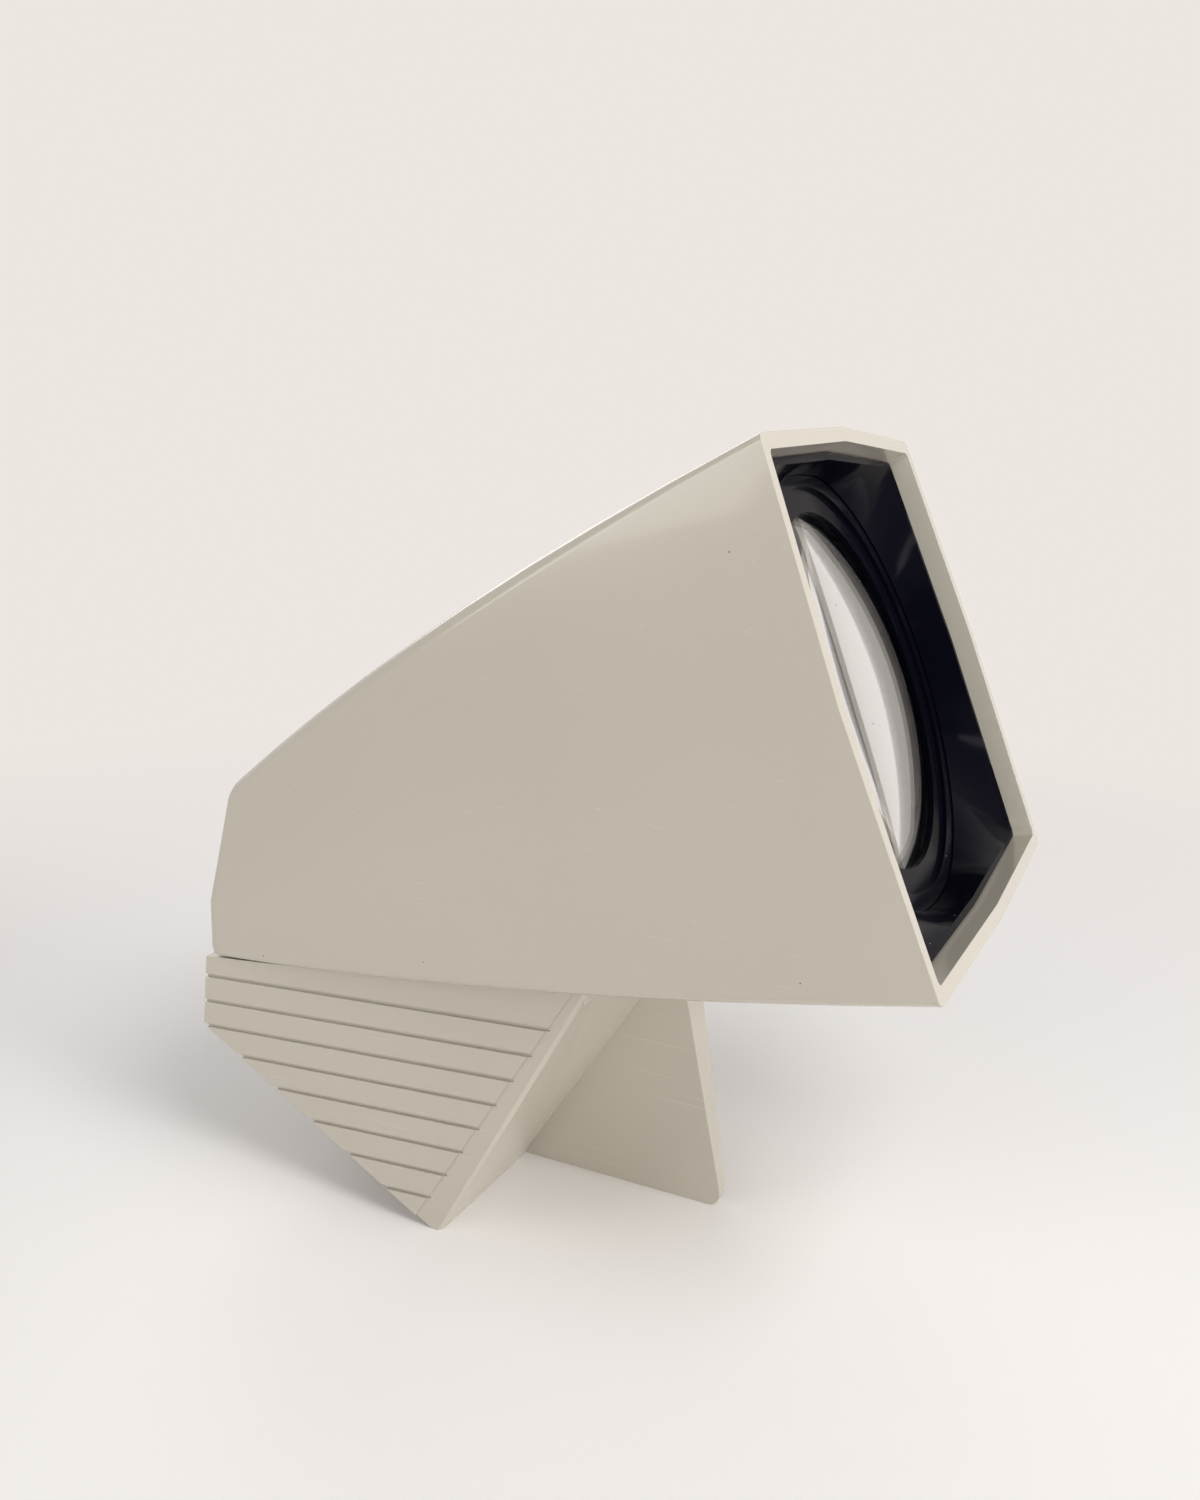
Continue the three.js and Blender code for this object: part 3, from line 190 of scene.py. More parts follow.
class ViewerStage(bpy.types.PropertyGroup):
    lens_length: FloatProperty(name="Focal length", description="Focal length of the camera in mm",
                               default=31.2, min=10.0, max=200.0)
    floor: tint("Floor", "Colour of the table top", (0.92, 0.9, 0.9))
    backdrop: tint("Backdrop", "Colour seen behind the object", (0.84, 0.79, 0.755))
    sky: FloatProperty(name="Sky", description="Strength of the light from all round",
                       default=0.36, min=0.0, max=5.0)
    key: power("Key lamp", "Power of the large lamp above", 4.2)
    fill: power("Fill lamp", "Power of the lamp in front of the mouth", 7.5)
    low: power("Low lamp", "Power of the lamp just over the table", 1.3)
    back: power("Back lamp", "Power of the lamp behind the object", 1.8)
    side: power("Side lamp", "Power of the lamp behind the camera's left", 2.2)


# The record's facts about a CAD node

def slot_of(node_name):
    """The record's material slot of a CAD node."""
    for part in frame["record"]["subparts"]:
        if part["node"] == node_name:
            return part["material_slot"]
    raise ValueError("no slot for " + node_name)


def body_with(node_name):
    """The CAD body that carries a node."""
    for body, held in frame["record"]["behaviour"]["bodies"].items():
        if node_name in held:
            return body
    raise ValueError("no body for " + node_name)


# Modelling helpers

def alone(thing):
    """Only this object is selected and active."""
    bpy.ops.object.select_all(action="DESELECT")
    thing.select_set(True)
    bpy.context.view_layer.objects.active = thing


def named(name):
    """The object that was just made, which takes this name, as its mesh does."""
    piece = bpy.context.active_object
    piece.name = name
    piece.data.name = name
    return piece


def copied(node_name, name, is_flat=True):
    """A merged copy of a CAD node, its flat or four-sided faces made whole, which stands for that node."""
    alone(frame["nodes"][node_name])
    bpy.ops.object.duplicate()
    piece = named(name)
    bpy.ops.object.parent_clear(type="CLEAR_KEEP_TRANSFORM")
    bpy.ops.mesh.customdata_custom_splitnormals_clear()
    bpy.ops.object.mode_set(mode="EDIT")
    bpy.ops.mesh.select_all(action="SELECT")
    bpy.ops.mesh.remove_doubles(threshold=MERGE_REACH)
    if is_flat:
        bpy.ops.mesh.dissolve_limited(angle_limit=FLAT_TURN)
    else:
        bpy.ops.mesh.tris_convert_to_quads(face_threshold=QUAD_TURN, shape_threshold=QUAD_SKEW)
    bpy.ops.mesh.select_all(action="DESELECT")
    bpy.ops.object.mode_set(mode="OBJECT")
    return piece


def applied(piece, kind, **settings):
    """Adds a modifier with these settings and applies it."""
    alone(piece)
    bpy.ops.object.modifier_add(type=kind)
    modifier = piece.modifiers[-1]
    for key, value in settings.items():
        setattr(modifier, key, value)
    bpy.ops.object.modifier_apply(modifier=modifier.name)


def smooth(piece, turn):
    """Smooth shading up to this turn, with normals weighted by the faces' areas."""
    alone(piece)
    bpy.ops.object.shade_smooth_by_angle(angle=turn)
    applied(piece, "WEIGHTED_NORMAL", keep_sharp=True, weight=NORMAL_WEIGHT)


def bevelled(piece, width, steps, **limits):
    """Rounds the edges that the limits choose, and shades the piece smoothly."""
    applied(piece, "BEVEL", width=width, segments=steps, use_clamp_overlap=True, loop_slide=True, **limits)
    smooth(piece, SOFT_TURN)


def weighted(piece, weights):
    """Gives each edge the share of the rounding that it takes."""
    layer = piece.data.attributes.new("bevel_weight_edge", "FLOAT", "EDGE")
    for slot, weight in enumerate(weights):
        layer.data[slot].value = weight


def edged(piece, wide, narrow, steps, least, turn=SHARP_TURN):
    """Rounds the edges between large faces widely and the rest narrowly."""
    mesh = bmesh.new()
    mesh.from_mesh(piece.data)
    weights = []
    for edge in mesh.edges:
        turns = edge.calc_face_angle(0.0) > turn
        is_wide = turns and min(face.calc_area() for face in edge.link_faces) > least
        weights.append(1.0 if is_wide else narrow / wide if turns else 0.0)
    mesh.free()
    weighted(piece, weights)
    bevelled(piece, wide, steps, limit_method="WEIGHT")


def added(piece, body, slot):
    """A piece that rides on a body and takes a slot's finish."""
    piece.data.materials.clear()
    piece.data.materials.append(finishes()[slot])
    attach(piece, body)
    return piece


def finished(piece, node_name):
    """The piece stands for its CAD node, rides on that node's body and takes its finish."""
    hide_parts(node_name)
    return added(piece, body_with(node_name), slot_of(node_name))


def kept(*node_names):
    """CAD nodes that stay as they are, with better finishes."""
    for node_name in node_names:
        held = frame["nodes"][node_name]
        held.data.materials.clear()
        held.data.materials.append(finishes()[slot_of(node_name)])


def dressed(node_name, name, width, steps):
    """The usual piece: a merged copy of its node with rounded edges and the node's own finish."""
    piece = copied(node_name, name)
    bevelled(piece, width, steps, limit_method="ANGLE", angle_limit=SHARP_TURN)
    return finished(piece, node_name)


def coil(node_name, name):
    """A wound spring: a merged copy of its node with a smooth wire."""
    piece = copied(node_name, name, False)
    alone(piece)
    bpy.ops.object.shade_smooth_by_angle(angle=WIRE_TURN)
    return finished(piece, node_name)


def turned(name, profile, centre, axis, steps):
    """A closed outline of (radius, place along the axis) points, spun all round its axis."""
    bpy.ops.object.select_all(action="DESELECT")
    bpy.ops.mesh.primitive_circle_add(vertices=len(profile), radius=MM)
    piece = named(name)
    outwards = axis.orthogonal().normalized()
    for corner, (radius, along) in zip(piece.data.vertices, profile):
        corner.co = centre + outwards * radius + axis * along
    bpy.ops.object.mode_set(mode="EDIT")
    bpy.ops.mesh.select_all(action="SELECT")
    bpy.ops.mesh.spin(steps=steps, angle=math.tau, center=centre, axis=axis)
    bpy.ops.mesh.select_all(action="SELECT")
    bpy.ops.mesh.remove_doubles(threshold=MERGE_REACH)
    bpy.ops.mesh.delete_loose(use_verts=True, use_edges=True, use_faces=False)
    bpy.ops.mesh.select_all(action="SELECT")
    bpy.ops.mesh.normals_make_consistent(inside=False)
    bpy.ops.mesh.select_all(action="DESELECT")
    bpy.ops.object.mode_set(mode="OBJECT")
    return piece


def sagging(radius, reach, steps):
    """Heights of a spherical face over its own rim, as (distance from the axis, height) from middle to rim."""
    rim = math.sqrt(radius ** 2 - reach ** 2)
    distances = [reach * step / steps for step in range(steps + 1)]
    return [(distance, math.sqrt(radius ** 2 - distance ** 2) - rim) for distance in distances]


# The liner's outlines and lines

def optical(point):
    """A point's place along the lens's axis, across it and up it, from the middle of the mouth."""
    offset = point - MOUTH
    return offset.dot(AXIS), offset.y, offset.dot(UP)


def turn_at(first, middle, last):
    """How far a path turns left at its middle point."""
    before = math.atan2(middle[1] - first[1], middle[0] - first[0])
    after = math.atan2(last[1] - middle[1], last[0] - middle[0])
    return math.remainder(after - before, math.tau)


def outline_of(points, level):
    """Corners of the convex outline that a node's points make at one depth, with the straight ones left out."""
    held = sorted({(round(across, SPOT_DIGITS), round(high, SPOT_DIGITS))
                   for along, across, high in points if abs(along - level) < LEVEL_SLACK})
    corners = []
    for walk in (held, held[::-1]):
        side = []
        for spot in walk:
            while len(side) > 1 and turn_at(side[-2], side[-1], spot) < STRAIGHT_TURN:
                side.pop()
            side.append(spot)
        corners += side[:-1]
    return corners


def reach_of(corners, angle):
    """Distance from the axis to an outline in one direction."""
    ahead = Vector((math.cos(angle), math.sin(angle)))
    aside = Vector((-math.sin(angle), math.cos(angle)))
    for slot, end in enumerate(corners):
        one, two = Vector(corners[slot - 1]), Vector(end)
        low, high = one.dot(aside), two.dot(aside)
        if low * high <= 0 and low != high and (one + two).dot(ahead) > 0:
            return one.lerp(two, low / (low - high)).dot(ahead)
    raise ValueError("the outline doesn't surround the axis")


def deep_reach(seat, angle):
    """Distance from the axis to the liner's deep end: the bezel's circle, or the seat's outline inside it."""
    drop = LENS_DROP * MM
    circle = -drop * math.sin(angle) + math.sqrt(BEZEL_BORE ** 2 - (drop * math.cos(angle)) ** 2)
    wall = reach_of(seat, angle)
    return circle if circle - wall < SEAT_SLACK else wall


def liner_angles(folds):
    """Directions of the liner's lines: one on each fold, and even ones where a fold leaves them room."""
    even = [math.tau * step / LINER_STEPS for step in range(LINER_STEPS)]
    room = FOLD_ROOM * math.tau / LINER_STEPS
    return sorted(folds + [angle for angle in even
                           if all(abs(math.remainder(angle - held, math.tau)) > room for held in folds)])


def liner_path(near, deep, front, back):
    """One line of the liner: its rim's outside, its lip, rows down the inside, and its outside at the deep end."""
    cuts = LINER_ROWS + 1
    inside = [(near - LINER_WALL + (deep - near) * row / cuts, front + (back - front) * row / cuts)
              for row in range(cuts + 1)]
    return [(near, front)] + inside + [(deep, back)]


def funnel(name, source, fold):
    """The liner: straight lines all round from the mouth's outline to the bezel's circle, with rounded folds."""
    points = [optical(corner.co) for corner in source.data.vertices]
    front, back = max(point[0] for point in points), min(point[0] for point in points)
    mouth, seat = outline_of(points, front), outline_of(points, back)
    folds = [math.atan2(corner[1], corner[0]) % math.tau for corner in mouth]
    angles = liner_angles(folds)
    bpy.ops.object.select_all(action="DESELECT")
    bpy.ops.mesh.primitive_torus_add(major_segments=len(angles), minor_segments=LINER_LOOPS,
                                     major_radius=RING_RADIUS, minor_radius=TUBE_RADIUS)
    piece = named(name)
    for slot, angle in enumerate(angles):
        path = liner_path(reach_of(mouth, angle), deep_reach(seat, angle), front, back)
        for turn, (distance, along) in enumerate(path):
            across, high = distance * math.cos(angle), distance * math.sin(angle)
            corner = piece.data.vertices[slot * LINER_LOOPS + turn]
            corner.co = MOUTH + AXIS * along + Vector((0.0, across, 0.0)) + UP * high
    alone(piece)
    bpy.ops.object.mode_set(mode="EDIT")
    bpy.ops.mesh.select_all(action="SELECT")
    bpy.ops.mesh.normals_make_consistent(inside=False)
    bpy.ops.mesh.select_all(action="DESELECT")
    bpy.ops.object.mode_set(mode="OBJECT")
    bent = {angles.index(angle) for angle in folds}
    weighted(piece, [1.0 if is_fold(edge, bent) else 0.0 for edge in piece.data.edges])
    bevelled(piece, fold, FOLD_STEPS, limit_method="WEIGHT")
    return piece


def is_fold(edge, bent):
    """Whether an edge runs down the liner's inside on one of the bent lines."""
    one, two = edge.vertices
    inside = range(1, LINER_LOOPS - 1)
    is_one_line = one // LINER_LOOPS == two // LINER_LOOPS and one // LINER_LOOPS in bent
    return is_one_line and one % LINER_LOOPS in inside and two % LINER_LOOPS in inside


# Shader groups

POSITION = ("Position", "NodeSocketVector", None)


def group(name, inputs, outputs):
    """A shader node group with named inputs and outputs, built once."""
    if name in bpy.data.node_groups:
        return bpy.data.node_groups[name], None, None
    tree = bpy.data.node_groups.new(name, "ShaderNodeTree")
    for label, kind, value in inputs:
        socket = tree.interface.new_socket(name=label, in_out="INPUT", socket_type=kind)
        if value is not None:
            socket.default_value = value
    for label in outputs:
        tree.interface.new_socket(name=label, in_out="OUTPUT", socket_type="NodeSocketFloat")
    return tree, tree.nodes.new("NodeGroupInput"), tree.nodes.new("NodeGroupOutput")


def node(tree, kind, values=None, **settings):
    """A shader node with its settings and socket values."""
    made = tree.nodes.new(kind)
    for key, value in settings.items():
        setattr(made, key, value)
    for key, value in (values or {}).items():
        made.inputs[key].default_value = value
    return made


def grain_group():
    """Fine moulded grain and slow waviness, as heights."""
    tree, start, end = group("Moulded grain", [
        POSITION,
        ("Fine scale", "NodeSocketFloat", 900.0),
        ("Wave scale", "NodeSocketFloat", 22.0),
        ("Wave share", "NodeSocketFloat", 0.5),
    ], ["Height", "Cloud"])
    if start is None:
        return tree
    fine = node(tree, "ShaderNodeTexNoise", {"Detail": 3.0, "Roughness": 0.6})
    wave = node(tree, "ShaderNodeTexNoise", {"Detail": 1.5, "Roughness": 0.4})
    share = node(tree, "ShaderNodeMix", data_type="FLOAT")
    link = tree.links.new
    link(start.outputs["Position"], fine.inputs["Vector"])
    link(start.outputs["Fine scale"], fine.inputs["Scale"])
    link(start.outputs["Position"], wave.inputs["Vector"])
    link(start.outputs["Wave scale"], wave.inputs["Scale"])
    link(start.outputs["Wave share"], share.inputs[0])
    link(fine.outputs["Fac"], share.inputs[2])
    link(wave.outputs["Fac"], share.inputs[3])
    link(share.outputs[0], end.inputs["Height"])
    link(wave.outputs["Fac"], end.inputs["Cloud"])
    return tree


def speck_group():
    """Sparse small specks, as a mask."""
    tree, start, end = group("Specks", [
        POSITION,
        ("Scale", "NodeSocketFloat", 110.0),
        ("Size", "NodeSocketFloat", 0.05),
        ("Rarity", "NodeSocketFloat", 0.6),
    ], ["Mask"])
    if start is None:
        return tree
    cells = node(tree, "ShaderNodeTexVoronoi", {"Randomness": 1.0})
    near = node(tree, "ShaderNodeMath", operation="LESS_THAN")
    chosen = node(tree, "ShaderNodeMath", operation="GREATER_THAN")
    split = node(tree, "ShaderNodeSeparateColor")
    both = node(tree, "ShaderNodeMath", operation="MULTIPLY")
    link = tree.links.new
    link(start.outputs["Position"], cells.inputs["Vector"])
    link(start.outputs["Scale"], cells.inputs["Scale"])
    link(cells.outputs["Distance"], near.inputs[0])
    link(start.outputs["Size"], near.inputs[1])
    link(cells.outputs["Color"], split.inputs[0])
    link(split.outputs[0], chosen.inputs[0])
    link(start.outputs["Rarity"], chosen.inputs[1])
    link(near.outputs[0], both.inputs[0])
    link(chosen.outputs[0], both.inputs[1])
    link(both.outputs[0], end.inputs["Mask"])
    return tree


def scratch_group():
    """Fine straight handling scratches, as a mask."""
    tree, start, end = group("Handling scratches", [
        POSITION,
        ("Turn", "NodeSocketVector", (0.4, 0.9, 0.3)),
        ("Stretch", "NodeSocketVector", (25.0, 2600.0, 2600.0)),
        ("Cut", "NodeSocketFloat", 0.72),
    ], ["Mask"])
    if start is None:
        return tree
    mapping = node(tree, "ShaderNodeMapping")
    streak = node(tree, "ShaderNodeTexNoise", {"Scale": 1.0, "Detail": 1.0, "Roughness": 0.4})
    cut = node(tree, "ShaderNodeMapRange", {"To Min": 0.0, "To Max": 1.0, "From Max": 0.86})
    link = tree.links.new
    link(start.outputs["Position"], mapping.inputs["Vector"])
    link(start.outputs["Turn"], mapping.inputs["Rotation"])
    link(start.outputs["Stretch"], mapping.inputs["Scale"])
    link(mapping.outputs[0], streak.inputs["Vector"])
    link(streak.outputs["Fac"], cut.inputs["Value"])
    link(start.outputs["Cut"], cut.inputs["From Min"])
    link(cut.outputs[0], end.inputs["Mask"])
    return tree


def placed_group(tree, made, position):
    """A group node reading the piece's own coordinates."""
    used = tree.nodes.new("ShaderNodeGroup")
    used.node_tree = made
    tree.links.new(position.outputs["Object"], used.inputs["Position"])
    return used


def mixed(tree, factor, first, second):
    """A colour mix whose inputs are sockets or plain values."""
    mix = node(tree, "ShaderNodeMix", data_type="RGBA")
    for socket, given in ((mix.inputs[0], factor), (mix.inputs[6], first), (mix.inputs[7], second)):
        if isinstance(given, bpy.types.NodeSocket):
            tree.links.new(given, socket)
        else:
            socket.default_value = (*given, 1.0)
    return mix.outputs[2]


# Materials

def surface(name):
    """The material of this name, and if it is new its node tree and shader."""
    if name in bpy.data.materials:
        return bpy.data.materials[name], None, None
    material = bpy.data.materials.new(name)
    material.use_nodes = True
    return material, material.node_tree, material.node_tree.nodes["Principled BSDF"]


def plastic(name, colour, roughness, speck=(0.12, 0.09, 0.07), speck_size=0.02, speck_scale=110.0,
            grain=0.05, spread=0.05, scratch=0.5, coat=0.0, specular=0.5, spot_colour=None):
    """Moulded plastic: clouded colour, specks, scratches, uneven gloss and a fine grain."""
    material, tree, shader = surface(name)
    if tree is None:
        return material
    link = tree.links.new
    shader.inputs["IOR"].default_value = PLASTIC_IOR
    shader.inputs["Specular IOR Level"].default_value = specular
    shader.inputs["Coat Weight"].default_value = coat
    shader.inputs["Coat Roughness"].default_value = COAT_ROUGHNESS
    position = tree.nodes.new("ShaderNodeTexCoord")
    grained = placed_group(tree, grain_group(), position)
    specks = placed_group(tree, speck_group(), position)
    specks.inputs["Size"].default_value = speck_size
    specks.inputs["Scale"].default_value = speck_scale
    scratches = placed_group(tree, scratch_group(), position)
    light = tuple(min(1.0, value * (1.0 + spread)) for value in colour)
    dark = tuple(value * (1.0 - spread) for value in colour)
    shade = mixed(tree, grained.outputs["Cloud"], dark, light)
    if spot_colour is not None:
        shade = tinted_spot(tree, position, shade, spot_colour)
    pale = tuple(min(1.0, value * PALE_SHARE + PALE_LIFT) for value in colour)
    faint = node(tree, "ShaderNodeMath", {1: scratch}, operation="MULTIPLY")
    link(scratches.outputs["Mask"], faint.inputs[0])
    shade = mixed(tree, faint.outputs[0], shade, pale)
    shade = mixed(tree, specks.outputs["Mask"], shade, speck)
    link(shade, shader.inputs["Base Color"])
    gloss = node(tree, "ShaderNodeMapRange", {"To Min": roughness * SMOOTH_SHARE, "To Max": roughness * ROUGH_SHARE})
    link(grained.outputs["Cloud"], gloss.inputs["Value"])
    worn = node(tree, "ShaderNodeMath", {1: SCRATCH_WEAR * scratch}, operation="MULTIPLY_ADD")
    link(faint.outputs[0], worn.inputs[0])
    link(gloss.outputs[0], worn.inputs[2])
    link(worn.outputs[0], shader.inputs["Roughness"])
    bump = node(tree, "ShaderNodeBump", {"Strength": grain, "Distance": GRAIN_DEPTH})
    link(grained.outputs["Height"], bump.inputs["Height"])
    link(bump.outputs[0], shader.inputs["Normal"])
    return material


def tinted_spot(tree, position, shade, colour):
    """A warmer, darker tint that fades in towards one spot at the back of the moulding."""
    away = node(tree, "ShaderNodeVectorMath", {1: TINT_SPOT}, operation="DISTANCE")
    fade = node(tree, "ShaderNodeMapRange", {"From Min": 0.0, "From Max": TINT_REACH, "To Min": 1.0, "To Max": 0.0},
                interpolation_type="SMOOTHSTEP")
    tree.links.new(position.outputs["Object"], away.inputs[0])
    tree.links.new(away.outputs["Value"], fade.inputs["Value"])
    return mixed(tree, fade.outputs[0], shade, colour)


def metal(name, colour, roughness, brushed=0.12):
    """Drawn or rolled metal with fine lines in its gloss."""
    material, tree, shader = surface(name)
    if tree is None:
        return material
    link = tree.links.new
    shader.inputs["Metallic"].default_value = 1.0
    position = tree.nodes.new("ShaderNodeTexCoord")
    grained = placed_group(tree, grain_group(), position)
    lines = placed_group(tree, scratch_group(), position)
    lines.inputs["Stretch"].default_value = (150.0, 4000.0, 4000.0)
    lines.inputs["Cut"].default_value = 0.5
    dark = tuple(value * METAL_SHADE for value in colour)
    link(mixed(tree, grained.outputs["Cloud"], dark, colour), shader.inputs["Base Color"])
    gloss = node(tree, "ShaderNodeMapRange", {"To Min": roughness, "To Max": roughness + brushed})
    link(lines.outputs["Mask"], gloss.inputs["Value"])
    link(gloss.outputs[0], shader.inputs["Roughness"])
    bump = node(tree, "ShaderNodeBump", {"Strength": LINE_BUMP, "Distance": LINE_DEPTH})
    link(lines.outputs["Mask"], bump.inputs["Height"])
    link(bump.outputs[0], shader.inputs["Normal"])
    return material


def clear(name, colour, ior, dust):
    """Clear polished glass or acrylic with a little dust on it."""
    material, tree, shader = surface(name)
    if tree is None:
        return material
    link = tree.links.new
    shader.inputs["Transmission Weight"].default_value = 1.0
    shader.inputs["IOR"].default_value = ior
    position = tree.nodes.new("ShaderNodeTexCoord")
    specks = placed_group(tree, speck_group(), position)
    specks.inputs["Scale"].default_value = 240.0
    specks.inputs["Size"].default_value = 0.05
    link(mixed(tree, specks.outputs["Mask"], colour, DUST), shader.inputs["Base Color"])
    gloss = node(tree, "ShaderNodeMapRange", {"To Min": 0.0, "To Max": dust})
    link(specks.outputs["Mask"], gloss.inputs["Value"])
    link(gloss.outputs[0], shader.inputs["Roughness"])
    return material


def finishes():
    """Every material of the viewer, by the record's slot."""
    tone = bpy.context.scene.viewer_finish
    warm = tuple(part * share for part, share in zip(tone.shell, TINT_SHARES))
    return {
        "hood_plastic": plastic("hood_shell_look", tone.shell, 0.2, spread=0.03, coat=0.4, spot_colour=warm),
        "base_plastic": plastic("base_shell_look", tone.shell, 0.26, grain=0.07, spread=0.03, coat=0.25),
        "liner_plastic": plastic("gloss_liner_look", tone.liner, 0.12, speck=(0.4, 0.4, 0.4), speck_size=0.03,
                                 speck_scale=260.0, grain=0.02, spread=0.2, scratch=0.05, specular=0.02),
        "black_plastic": plastic("matt_black_look", tone.black, 0.6, speck=(0.1, 0.1, 0.1),
                                 grain=0.2, spread=0.2, scratch=0.1, specular=0.05),
        "opal_plastic": plastic("opal_look", tone.opal, 0.5, speck=(0.6, 0.58, 0.5),
                                grain=0.1, spread=0.02, scratch=0.1),
        "lens_plastic": clear("lens_look", (0.985, 0.985, 0.985), LENS_IOR, 0.4),
        "bulb_glass": clear("bulb_look", (0.97, 0.97, 0.95), BULB_IOR, 0.3),
        "spring_steel": metal("spring_look", tone.steel, 0.2),
        "zinc_steel": metal("zinc_look", tuple(value * ZINC_SHADE for value in tone.steel), 0.32),
        "contact_brass": metal("brass_look", tone.brass, 0.22),
        "reflector_sheet": metal("reflector_look", (0.8, 0.81, 0.82), 0.08, 0.05),
        "cell_case": plastic("cell_look", tone.wrap, 0.3, speck=(0.3, 0.3, 0.3), spread=0.08, scratch=0.3),
    }


# Pieces

class VIEWER_OT_hood(bpy.types.Operator):
    """Hood: the tapering facetted shell with its rounded rim"""
    bl_idname = "viewer.hood"
    bl_label = "Hood"

    def execute(self, context):
        sizes = context.scene.viewer_sizes
        piece = copied("upper_shell", "hood_shell")
        edged(piece, sizes.hood_fold, sizes.hood_edge, sizes.edge_steps, HOOD_FACE, HOOD_TURN)
        finished(piece, "upper_shell")
        return {"FINISHED"}


class VIEWER_OT_mouth(bpy.types.Operator):
    """Mouth: glossy liner, stepped bezel, lens and its retainer"""
    bl_idname = "viewer.mouth"
    bl_label = "Mouth"

    def execute(self, context):
        sizes = context.scene.viewer_sizes
        finished(funnel("mouth_liner", frame["nodes"]["hood_liner"], sizes.liner_fold), "hood_liner")
        dressed("lens_bezel", "mouth_bezel", sizes.liner_edge * BEZEL_SHARE, sizes.edge_steps)
        centre = MOUTH - UP * LENS_DROP * MM
        dome = [(distance, LENS_FRONT + height) for distance, height in sagging(FRONT_RADIUS, LENS_FACE, FRONT_RINGS)]
        hollow = [(distance, LENS_BACK + height) for distance, height in sagging(BACK_RADIUS, LENS_FACE, BACK_RINGS)]
        outline = dome + [(LENS_FLANGE, LENS_FRONT), (LENS_FLANGE, LENS_BACK)] + hollow[::-1]
        piece = turned("mouth_lens", outline, centre, AXIS, LENS_STEPS)
        smooth(piece, LENS_TURN)
        finished(piece, "lens")
        inner, outer = LENS_FACE + PAINT_GAP, LENS_FLANGE + PAINT_SKIN
        ahead, behind = LENS_FRONT + PAINT_SKIN, LENS_BACK - PAINT_SKIN
        band = [(inner, ahead), (outer, ahead), (outer, behind), (inner, behind)]
        piece = turned("lens_edge_paint", band, centre, AXIS, LENS_STEPS)
        smooth(piece, PAINT_TURN)
        added(piece, body_with("lens"), "black_plastic")
        dressed("lens_retainer", "lens_frame", sizes.fine_edge, FINE_STEPS)
        return {"FINISHED"}


class VIEWER_OT_gate(bpy.types.Operator):
    """Slide gate: plate, backplate, pressure springs, screws, diffuser and lifter"""
    bl_idname = "viewer.gate"
    bl_label = "Slide gate"

    def execute(self, context):
        edge = context.scene.viewer_sizes.fine_edge
        dressed("slide_gate", "gate_plate", edge, FINE_STEPS)
        dressed("slide_backplate", "gate_backplate", edge, FINE_STEPS)
        dressed("slide_lifter", "lifter_slide", edge, FINE_STEPS)
        dressed("diffuser", "opal_diffuser", edge, FINE_STEPS)
        kept("pressure_spring_left", "pressure_spring_right", "gate_screw_left", "gate_screw_right")
        piece = coil("lifter_spring", "lifter_coil")
        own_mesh(piece)
        return {"FINISHED"}


class VIEWER_OT_lamp(bpy.types.Operator):
    """Lamp: reflector, bulb with its threaded cap, holder, contact and switch leaf"""
    bl_idname = "viewer.lamp"
    bl_label = "Lamp"

    def execute(self, context):
        dressed("lamp_holder", "bulb_holder", context.scene.viewer_sizes.fine_edge, FINE_STEPS)
        kept("reflector", "lamp_bulb", "lamp_cap", "lamp_contact", "switch_leaf")
        return {"FINISHED"}


class VIEWER_OT_base(bpy.types.Operator):
    """Base: the grooved wedge with its keel, and the screws that hold the hood"""
    bl_idname = "viewer.base"
    bl_label = "Base"

    def execute(self, context):
        sizes = context.scene.viewer_sizes
        piece = copied("base_housing", "wedge_base")
        edged(piece, sizes.base_edge, sizes.groove_edge, sizes.edge_steps, BASE_FACE)
        finished(piece, "base_housing")
        kept("base_screw_left", "base_screw_right")
        return {"FINISHED"}


class VIEWER_OT_power(bpy.types.Operator):
    """Power: battery door, cells, their springs, link and terminals"""
    bl_idname = "viewer.power"
    bl_label = "Power"

    def execute(self, context):
        dressed("battery_door", "bay_door", context.scene.viewer_sizes.groove_edge, FINE_STEPS)
        kept("battery_cell_rear", "battery_cell_front", "battery_link", "terminal_rear", "terminal_front")
        coil("battery_spring_rear", "rear_coil")
        coil("battery_spring_front", "front_coil")
        return {"FINISHED"}


# Stage

class VIEWER_OT_stage(bpy.types.Operator):
    """Stage: camera, table top with backdrop, and soft lamps"""
    bl_idname = "viewer.stage"
    bl_label = "Stage"

    def execute(self, context):
        settings = context.scene.viewer_stage
        context.scene.view_settings.view_transform = "Standard"
        photo_camera(settings.lens_length)
        table_top(settings)
        soft_room(settings)
        for name, place, target, size, setting, colour in LAMPS:
            lamp(name, place, target, size, getattr(settings, setting), colour)
        dark_card()
        return {"FINISHED"}


